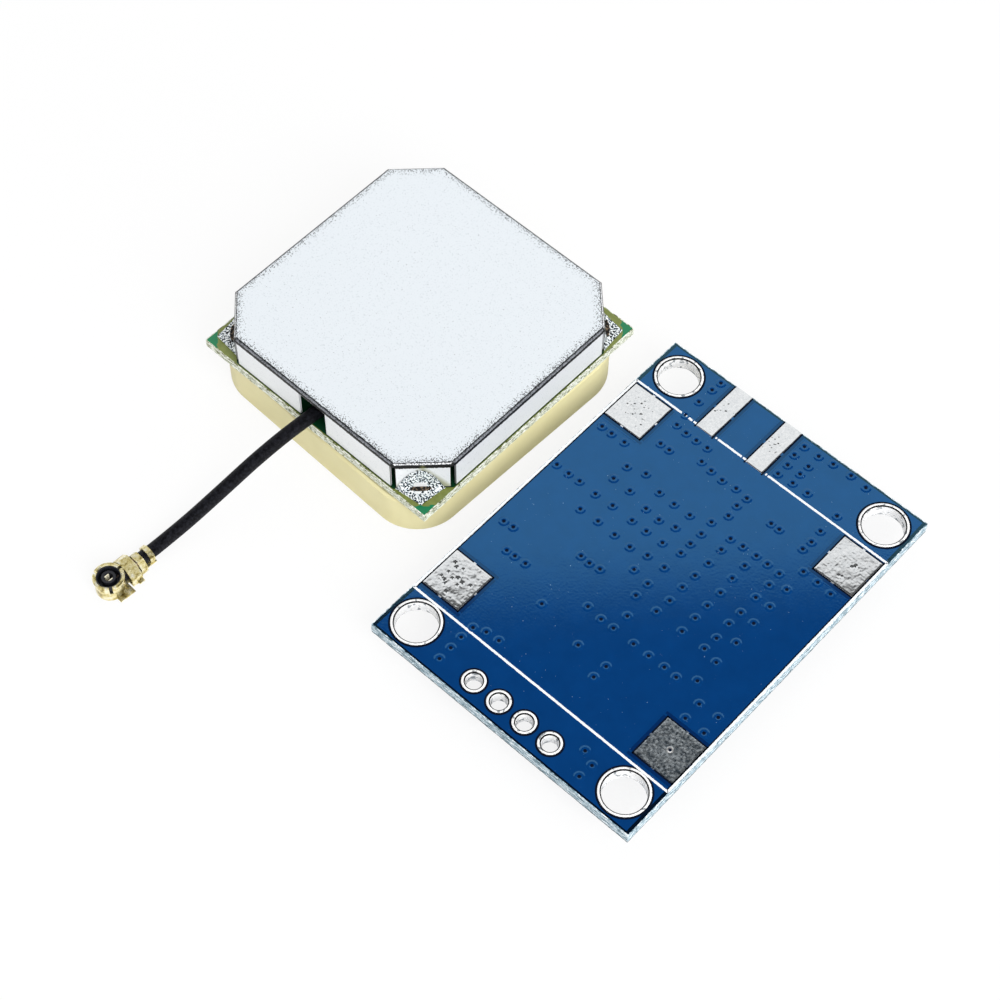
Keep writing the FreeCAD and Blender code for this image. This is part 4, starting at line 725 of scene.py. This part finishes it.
def eyelet(centre, bore, ring, low, high):
    """A plated hole: a closed section turned about its axis.

    Each face slopes from the ring's rim up to the lip by ring_fall, turns through a quarter
    circle of lip_radius and runs down the bore.
    """
    turn = np.linspace(0, math.pi / 2, 7)
    lip_r = bore + lip_radius * (1 - np.sin(turn))
    lip_z = lip_radius * (1 - np.cos(turn))
    radii = np.concatenate([[ring, ring - 0.02], lip_r, lip_r[::-1], [ring - 0.02, ring]])
    heights = np.concatenate([[high - 0.05, high - ring_fall], high - lip_z,
                              (low + lip_z)[::-1], [low + ring_fall, low + 0.05]])
    radii, heights = np.append(radii, radii[0]), np.append(heights, heights[0])
    return turned(centre, radii, heights, ring_sides), grid_faces(len(radii), ring_sides, wrap=True)


for node, places, bore, ring in (
        ("mounting_hole_plating", [(x, y) for x in (-10.4, 10.4) for y in (-15.4, 15.4)], 1.7, 2.02),
        ("header_hole_plating", [(x, -16.15) for x in (-3.81, -1.27, 1.27, 3.81)], 0.65, 0.97)):
    hole_low, hole_high = (corner[2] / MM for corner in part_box(node))
    eyelets = [eyelet(spot, bore, ring, hole_low, hole_high + 0.01) for spot in places]
    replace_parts(make_piece(node.replace("plating", "eyelets"), eyelets, lip_material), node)
    # Round each hole a ring of the gap's black: the gap in the mask, partly painted shade of its wall.
    halo = np.array([ring + clear_width, ring - 0.02])
    gaps = [disc((x, y, clear_high), halo, np.zeros(2), ring_sides) for x, y in places]
    make_piece(node.replace("plating", "clearance"), [gap[:2] for gap in gaps], clearance_shade_material,
               smooth=False)


# Receiver under the board
# The receiver is a small board with half holes along its sides, soldered under a drawn
# cover of nickel silver. The whole module rests on that cover.

draw_length = 2.5
draw_width = 0.11

# Nickel silver is a warm grey metal, and the die left it with fine marks along one way.
drawn_material = clouded("drawn nickel silver", (draw_length, draw_width, draw_width),
                         ((0, "B9BAB6"), (1, "D9DAD6")), detail=3.0, roughness=(0.24, 0.42),
                         relief=(0.4, 0.004), Metallic=0.85)
dress(drawn_material, "receiver_shield", "backup_cell", "cell_tabs")


# Chips, chip parts and their leads
# Black moulding compound for the bodies, fired ceramic for the capacitors, and tinned
# leads and ends.

# Silica grit in the black epoxy makes it a dull charcoal with a fine, even grain.
compound_material = clouded("epoxy moulding compound", 0.11, ((0, "161618"), (1, "29292B")),
                            roughness=0.62, relief=(0.3, 0.01))
dress(compound_material, "memory_body", "regulator_body", "charging_diode", "amplifier_chips",
      "chip_resistors")

# Barium titanate fires to a tan, half-dull body with slightly darker clouds.
fired_material = clouded("fired capacitor ceramic", 0.17, ((0, "8F7355"), (1, "B89A76")), detail=3.0)
dress(fired_material, "chip_capacitors", "antenna_chip_parts", "frequency_filter")
dress(tin_material, "memory_leads", "regulator_leads", "diode_leads", "amplifier_leads",
      "chip_end_caps", "antenna_chip_ends")

# The polymer flows in streaks as it is moulded, which show as faint clouds in the off-white.
white_material = clouded("white liquid-crystal polymer", 0.2, ((0, "DAD8CF"), (1, "EDEBE3")))
dress(white_material, "socket_base", "status_light_base")

# Clear casting resin over a yellow phosphor: glossy, and pale amber in clouds.
lamp_material = clouded("clear epoxy", 0.35, ((0, "DCCB8C"), (1, "F0E7C4")), detail=1.0, roughness=0.12)
dress(lamp_material, "status_light_lens")


# Ceramic block
# Cream dielectric ceramic, pressed and fired, with broken edges and a dull, very slightly
# speckled surface. Silver paste is fired on both faces.

# Unglazed ceramic is dull and smooth, in a yellowish cream with faint clouds and fine grit.
ceramic_material, tree, shader = new_material("unglazed dielectric ceramic")
place = add_node(tree, "TexCoord").node.outputs["Object"]
ceramic_tone = cloud_tone(tree, 2.9, ((0, "DDD49F"), (1, "EBE3B4")), detail=3.0)[1]
ceramic_grit = add_node(tree, "TexNoise", {"Vector": place, "Scale": 1 / (0.13 * MM)})
ceramic_bump = add_node(tree, "Bump", {"Strength": 0.35, "Distance": 0.015 * MM,
                                       "Height": ceramic_grit})
fill(tree, shader, {"Base Color": ceramic_tone, "Normal": ceramic_bump, "Roughness": 0.55})
dress(ceramic_material, "ceramic_patch")

# Silver fired from a paste is matt and warm white, in patches of the screen's weave.
silver_material = clouded("fired silver paste", 0.4, ((0, "CFCCC4"), (1, "EBE9E4")), detail=4.0,
                          roughness=(0.3, 0.6), Metallic=0.9)
dress(silver_material, "radiator_electrode", "ground_electrode")

# The cut edge of the foam shows its cells as fine grey pits in a dull off-white.
tape_material, tree, shader = new_material("acrylic foam tape")
place = add_node(tree, "TexCoord").node.outputs["Object"]
cells = add_node(tree, "TexVoronoi", {"Vector": place, "Scale": 1 / (0.15 * MM)})
cell_tone = add_node(tree, "Mix", {"Factor": cells, 6: linear("A9A9A3"), 7: linear("E0E0DA")},
                     data_type="RGBA")
cell_bump = add_node(tree, "Bump", {"Strength": 0.5, "Distance": 0.02 * MM, "Height": cells})
fill(tree, shader, {"Base Color": cell_tone, "Normal": cell_bump, "Roughness": 0.9})
dress(tape_material, "adhesive_tape")


# Antenna board
# Green mask over copper on glass fibre, with a tinned pad at each corner. The mask looks olive
# over copper and teal on bare fibre, which shows at the tips. Under the can the board is painted
# a dark green: painted shade under the can's roof.

antenna_centre = (-27.93, 3.53)
antenna_turn = math.radians(-0.49)
antenna_side = 24.45
antenna_low, antenna_high = (corner[2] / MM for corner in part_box("antenna_board"))
tip_start = 23.55
tip_ragged = 0.9
foot_flat = 12.12
foot_corner = 14.76


def antenna_frame(tree):
    """Distances from the middle planes of the antenna, in its own turned frame, and height."""
    place = add_node(tree, "TexCoord").node.outputs["Object"]
    own = add_node(tree, "Mapping", {
        "Vector": place, "Location": (antenna_centre[0] * MM, antenna_centre[1] * MM, 0),
        "Rotation": (0, 0, antenna_turn)}, vector_type="TEXTURE")
    away = add_node(tree, "VectorMath", {0: own}, operation="ABSOLUTE")
    return place, add_node(tree, "SeparateXYZ", {"Vector": away}).node.outputs


# The mask is glossy, and shows the copper's grain through its green.
green_material, tree, shader = new_material("green solder mask on glass fibre")
place, own = antenna_frame(tree)
green_cloud, green_tone = cloud_tone(tree, 0.5, ((0, "5F6A2C"), (1, "87904C")), detail=3.0)
to_tip = add_node(tree, "Math", {0: own["X"], 1: own["Y"]}, operation="ADD")
ragged_tip = add_node(tree, "Math", {0: green_cloud, 1: tip_ragged * MM, 2: to_tip}, operation="MULTIPLY_ADD")
at_tip = add_node(tree, "MapRange", {"Value": ragged_tip, "From Min": tip_start * MM,
                                     "From Max": (tip_start + 0.1) * MM})
tip_tone = add_node(tree, "Mix", {"Factor": at_tip, 6: green_tone, 7: linear("14774C")},
                    data_type="RGBA")
# Painted shade: inside the can's outline, under its roof, the board is painted dark green.
out_of_middle = add_node(tree, "Math", {0: own["X"], 1: own["Y"]}, operation="MAXIMUM")
under_flats = add_node(tree, "Math", {0: out_of_middle, 1: foot_flat * MM}, operation="LESS_THAN")
under_tabs = add_node(tree, "Math", {0: to_tip, 1: foot_corner * math.sqrt(2) * MM},
                      operation="LESS_THAN")
painted_foot_shade = add_node(tree, "Math", {0: under_flats, 1: under_tabs}, operation="MULTIPLY")
foot_tone = add_node(tree, "Mix", {"Factor": painted_foot_shade, 6: tip_tone, 7: linear("0A3A22")},
                     data_type="RGBA")
fill(tree, shader, {"Base Color": foot_tone, "Roughness": 0.25})
dress(green_material, "antenna_board")


def antenna_point(along, across, corner=0):
    """A place in the photo's frame of a point on the diagonal through a corner, in mm."""
    angle = antenna_turn + math.radians(45 + 90 * corner)
    return np.stack([antenna_centre[0] + along * math.cos(angle) - across * math.sin(angle),
                     antenna_centre[1] + along * math.sin(angle) + across * math.cos(angle)], -1)


half_diagonal = antenna_side / math.sqrt(2)
antenna_corners = [antenna_point(np.array(half_diagonal), np.array(0.0), corner) for corner in range(4)]

# The snapped cut shows undyed fibre, with threads of mask and dirt drawn across it.
snapped_material = clouded("snapped glass fibre and resin", (0.4, 0.4, 0.1), (
    (0.36, "1C1A12"), (0.42, "7D8052"), (0.48, "C9D0B8"), (0.56, "F6F7F0")), 4.0, 0.75, 0.85)
make_piece("snapped_rims", [sawn_rim(antenna_corners, antenna_low, antenna_high, 0.06, 70)],
           snapped_material, smooth=False)


# Shield can
# Thin tinned steel, blanked, folded and slit at the corners. Its skin is frosted and almost
# white. Along the folds a ragged dark reflection of the dim room is painted into its colour.

can_flat = 12.1
can_corner = 14.743
can_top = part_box("shield_can")[1].z / MM
can_foot = antenna_high + 0.05
speck_size = 0.11

# The frosting scatters most of the light and mirrors the rest, so the top stays white. The folds
# have painted reflection: black lines and a grey band, in colours that run with the distance
# from the fold, measured over the sheet.
can_material, tree, shader = new_material("frosted tinned steel")
place, own = antenna_frame(tree)
furthest = add_node(tree, "Math", {0: own["X"], 1: own["Y"]}, operation="MAXIMUM")
flat_inset = add_node(tree, "Math", {0: can_flat * MM, 1: furthest}, operation="SUBTRACT")
both = add_node(tree, "Math", {0: own["X"], 1: own["Y"]}, operation="ADD")
corner_inset = add_node(tree, "Math", {0: both, 1: -1 / math.sqrt(2), 2: can_corner * MM},
                        operation="MULTIPLY_ADD")
inset = add_node(tree, "Math", {0: flat_inset, 1: corner_inset}, operation="MINIMUM")
drop = add_node(tree, "Math", {0: can_top * MM, 1: own["Z"]}, operation="SUBTRACT")
over_fold = add_node(tree, "Math", {0: inset, 1: drop}, operation="SUBTRACT")
ragged = add_node(tree, "TexNoise", {"Vector": place, "Scale": 1 / (0.15 * MM), "Detail": 2.0})
shifted = add_node(tree, "Math", {0: ragged, 1: 0.22 * MM, 2: over_fold}, operation="MULTIPLY_ADD")
run = add_node(tree, "MapRange", {"Value": shifted, "From Min": -0.49 * MM, "From Max": 1.31 * MM})
fold_tones = []
for stops in (((0.07, "EDF0F3"), (0.09, "010101"), (0.24, "010101"), (0.27, "94979D"), (0.38, "7C7F85"),
               (0.41, "030303"), (0.455, "030303"), (0.48, "E4EAEF")),
              ((0.01, "F2F4F6"), (0.03, "010101"), (0.26, "010101"), (0.28, "F2F4F6"), (0.37, "E4E6EA"),
               (0.39, "030303"), (0.43, "030303"), (0.45, "E4EAEF"))):
    painted_fold_tone = add_node(tree, "ValToRGB", {"Fac": run})
    painted_fold_tone.node.color_ramp.elements[0].color = linear("EDF0F3")
    painted_fold_tone.node.color_ramp.elements[1].color = linear("E4EAEF")
    for position, colour in stops:
        painted_fold_tone.node.color_ramp.elements.new(position).color = linear(colour)
    fold_tones.append(painted_fold_tone)
on_tab = add_node(tree, "Math", {0: corner_inset, 1: flat_inset}, operation="LESS_THAN")
painted_fold_tone = add_node(tree, "Mix", {"Factor": on_tab, 6: fold_tones[0], 7: fold_tones[1]},
                     data_type="RGBA")
along_wall = add_node(tree, "Math", {0: flat_inset, 1: corner_inset}, operation="MAXIMUM")
below_fold = add_node(tree, "Math", {0: over_fold, 1: 0.05 * MM}, operation="LESS_THAN")
slit_edge = add_node(tree, "Math", {0: along_wall, 1: 0.19 * MM}, operation="LESS_THAN")
slit_shade = add_node(tree, "Math", {0: below_fold, 1: slit_edge}, operation="MULTIPLY")
speck = add_node(tree, "TexNoise", {"Vector": place, "Scale": 1 / (speck_size * MM), "Detail": 1.0})
rarity = add_node(tree, "MapRange", {"Value": over_fold, "From Min": 0.40 * MM, "From Max": 1.15 * MM,
                                     "To Min": 0.54, "To Max": 0.76})
marked = add_node(tree, "Math", {0: speck, 1: rarity}, operation="GREATER_THAN")
on_wall = add_node(tree, "Math", {0: over_fold, 1: -0.2 * MM}, operation="GREATER_THAN")
mark_share = add_node(tree, "Math", {0: marked, 1: on_wall}, operation="MULTIPLY")
mark_depth = add_node(tree, "Math", {0: mark_share, 1: 0.75}, operation="MULTIPLY")
marked_tone = add_node(tree, "Mix", {"Factor": mark_depth, 6: painted_fold_tone, 7: linear("2C2E32")},
                       data_type="RGBA")
frost_tone = cloud_tone(tree, 0.14, ((0.30, "E9EBEC"), (0.42, "FFFFFF")), detail=4.0)[1]
frosted = add_node(tree, "Mix", {"Factor": 1.0, 6: marked_tone, 7: frost_tone}, data_type="RGBA",
                   blend_type="MULTIPLY")
across_tab = add_node(tree, "Math", {0: own["X"], 1: own["Y"]}, operation="SUBTRACT")
off_middle = add_node(tree, "Math", {0: across_tab}, operation="ABSOLUTE")
slope = add_node(tree, "Math", {0: off_middle, 1: 0.9, 2: own["Z"]}, operation="MULTIPLY_ADD")
stain = add_node(tree, "MapRange", {"Value": slope, "From Min": (can_foot + 3.3) * MM,
                                    "From Max": (can_foot + 2.6) * MM, "To Max": 0.7})
stain_share = add_node(tree, "Math", {0: stain, 1: on_tab}, operation="MULTIPLY")
stained = add_node(tree, "Mix", {"Factor": stain_share, 6: frosted, 7: linear("8E8F55")},
                   data_type="RGBA")
# Painted shade: the can's lowest 0.1 mm and the edges of its slits are painted nearly black.
painted_foot_shade = add_node(tree, "Math", {0: own["Z"], 1: (can_foot + 0.1) * MM}, operation="LESS_THAN")
in_shade = add_node(tree, "Math", {0: painted_foot_shade, 1: slit_shade}, operation="MAXIMUM")
can_colour = add_node(tree, "Mix", {"Factor": in_shade, 6: stained, 7: linear("0A0C0A")},
                      data_type="RGBA")
fill(tree, shader, {"Base Color": can_colour, "Metallic": 0.2, "Roughness": 0.35})
dress(can_material, "shield_can")


# Solder on the corner tabs
# Each corner tab ends in a leg in a slot of the antenna board. Solder was melted on by hand:
# it climbs the tab, wets the pad to its tip and froze grainy, with the slot left half open.

solder_climb = 2.4
solder_half = 1.85
pad_tip = 1.60
pad_half = 1.94
pad_shift = -0.24
grit_size = 0.14
grit_depth = 0.05
slot_out = 0.32
slot_level = 0.40
slot_half_out = 0.27
slot_half = 0.88

# Solder that froze in grains mirrors white and dim parts of the room side by side. This
# reflection is painted into its colour as black, grey-blue and white grains.
solder_material = clouded("grainy tin solder", grit_size, (
    (0.45, "06080A"), (0.49, "86A0B0"), (0.53, "FBFFFF")), detail=1.0, roughness=0.25,
    relief=(1.0, 0.02), Metallic=0.2)


def climbing_solder(corner, seed):
    """A height over the pad's triangle in front of a tab, as a grid of rows away from the tab.

    Height = climb * (1 - (across / half)^2) * exp(-out / 0.16) + 0.09, plus grit, and cut down
    to 0.03 below the slot's level inside its ellipse. Rows lie closer together near the tab,
    where the solder is steep.
    """
    rows, columns = 44, 72
    out = pad_tip * np.linspace(0, 1, rows)[:, None] ** 2
    across = np.linspace(-1, 1, columns)[None, :] * (pad_tip - out) * pad_half / pad_tip
    dome = np.clip(1 - (across / solder_half) ** 2, 0, 1)
    height = solder_climb * dome * np.exp(-out / 0.16) + 0.09
    in_slot = ((out - slot_out) / slot_half_out) ** 2 + (across / slot_half) ** 2 < 1
    grit = grain(across + 5, height + out + 5, grit_size, seed)
    fade = np.clip((pad_tip - out) / 0.3, 0.1, 1)
    height = height + grit_depth * grit * fade
    height = np.where(in_slot, np.minimum(height, slot_level - 0.03), height)
    stand = out + 0.02 + 0.07 * grain(across + 5, height + 5, grit_size, seed + 1) * np.exp(-out / 0.3)
    flat = antenna_point(can_corner + stand, across + pad_shift, corner)
    top = np.concatenate([flat, (can_foot + height)[..., None]], -1)
    return skirted(top, can_foot - 0.02)


solder_parts = []
for corner in range(4):
    solder_parts += climbing_solder(corner, 80 + 2 * corner)
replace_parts(make_piece("climbing_solder", solder_parts, solder_material),
            "corner_solder", "antenna_corner_pads")

# Flux burnt brown in the slot, with black painted in for the shade of the open slot.
slot_material = clouded("burnt rosin and painted shade in a slot", 0.2, ((0.51, "0B0A08"), (0.62, "7D6B57")), detail=3.0,
                        roughness=0.8)
slot_sides = 32
slot_lenses = []
for corner in range(4):
    turn = np.linspace(0, 2 * math.pi, slot_sides, endpoint=False)
    ring = antenna_point(can_corner + slot_out + slot_half_out * np.sin(turn),
                         slot_half * np.cos(turn) + pad_shift, corner)
    rim = np.column_stack([ring, np.full(slot_sides, can_foot + slot_level)])
    slot_lenses.append((rim, [list(range(slot_sides - 1, -1, -1))]))
make_piece("slot_openings", slot_lenses, slot_material, smooth=False)

# The leg's end is left clean and white.
leg_material = clouded("bright tinned steel", 0.14, ((0, "E3E6E8"), (1, "FFFFFF")), roughness=0.35,
                       Metallic=0.1)
leg_half = 0.6
leg_bars = []
for corner in range(4):
    ends = antenna_point(can_corner + 0.10, np.array([-leg_half, leg_half]) + pad_shift, corner)
    leg_bars.append(bar(ends[0], ends[1], 0.1, can_foot + 0.06, can_foot + 0.90))
make_piece("leg_ends", leg_bars, leg_material, smooth=False)
dress(solder_material, "feed_pin_solder", "lead_solder")


# Coax lead
# A black jacket over a braid, a clear insulation and a core. Both ends are stripped in
# steps; the lead lies on the antenna board in the can's notch, then sinks to the floor.

# The jacket is blue-black and half glossy, with grey scuffs where it rubbed on a spool.
jacket_material = clouded("extruded black fluoropolymer jacket", 0.22,
                          ((0.40, "060609"), (0.78, "26272E")), 4.0, 0.7, relief=(0.3, 0.01),
                          Specular_IOR_Level=0.15)
dress(jacket_material, "lead_jacket")

# Copper shows pink through its thin tin, in strands.
wire_material = clouded("tinned copper wire", 0.1, ((0.38, "7A4A33"), (0.60, "E6D3C4")), roughness=0.35,
                        Metallic=0.85)
dress(wire_material, "lead_braid", "lead_core", "feed_pin")

# Foamed polymer is milky white and waxy.
foam_material = clouded("foamed white insulation", 0.15, ((0, "D8D8D2"), (1, "F2F2EE")), roughness=0.45)
dress(foam_material, "lead_insulation")


# Plug
# Bronze strip, stamped, folded round the lead and plated with gold, with a black moulded
# insert that carries the two-bar contact.

# A thin flash of gold is pale and bright, with the die's marks in its relief. Painted highlights
# in cream and painted shade in olive-brown break it up in clouds.
gold_material = clouded("gold plate on bronze", 0.45, (
    (0.30, "8C7A3C"), (0.40, "D9C987"), (0.52, "F5EAB6"), (0.66, "FFFAE0")),
    roughness=(0.14, 0.32), relief=(0.35, 0.02), Metallic=0.85)
dress(gold_material, "plug_shell", "socket_shell", "socket_pin")

# The contact's bars are gold, painted nearly white: a painted highlight of the bright light they
# catch.
contact_material = clouded("gold plate painted white for its highlight", 0.2, ((0, "F6E9BE"), (1, "FFFDF0")), roughness=0.2,
                           Metallic=0.3)
dress(contact_material, "plug_contact")

# Glass-filled polymer: blue-black, with a faint grain and a soft shine on its raised boss.
insert_material = clouded("black liquid-crystal polymer", 0.14, ((0, "15161B"), (1, "2A2B33")),
                          roughness=0.4)
dress(insert_material, "plug_insert")

plug_axis = (-31.557, -27.886)
lining_radius = 0.975
lining_bore = 0.90
lining_low = 0.45
lining_top = 1.66
lining_sides = 48


def lining(axis, outer, bore, low, top):
    """A closed rectangular section with a rounded mouth, turned about an upright axis."""
    radii = [outer, outer, outer - 0.02, bore + 0.02, bore, bore, outer]
    heights = [low, top - 0.02, top, top, top - 0.02, low, low]
    return turned(axis, radii, heights, lining_sides), grid_faces(7, lining_sides, wrap=True)


# The insert's thin wall lines the cup up to its rim.
make_piece("insert_lining", [lining(plug_axis, lining_radius, lining_bore, lining_low, lining_top)],
           insert_material)
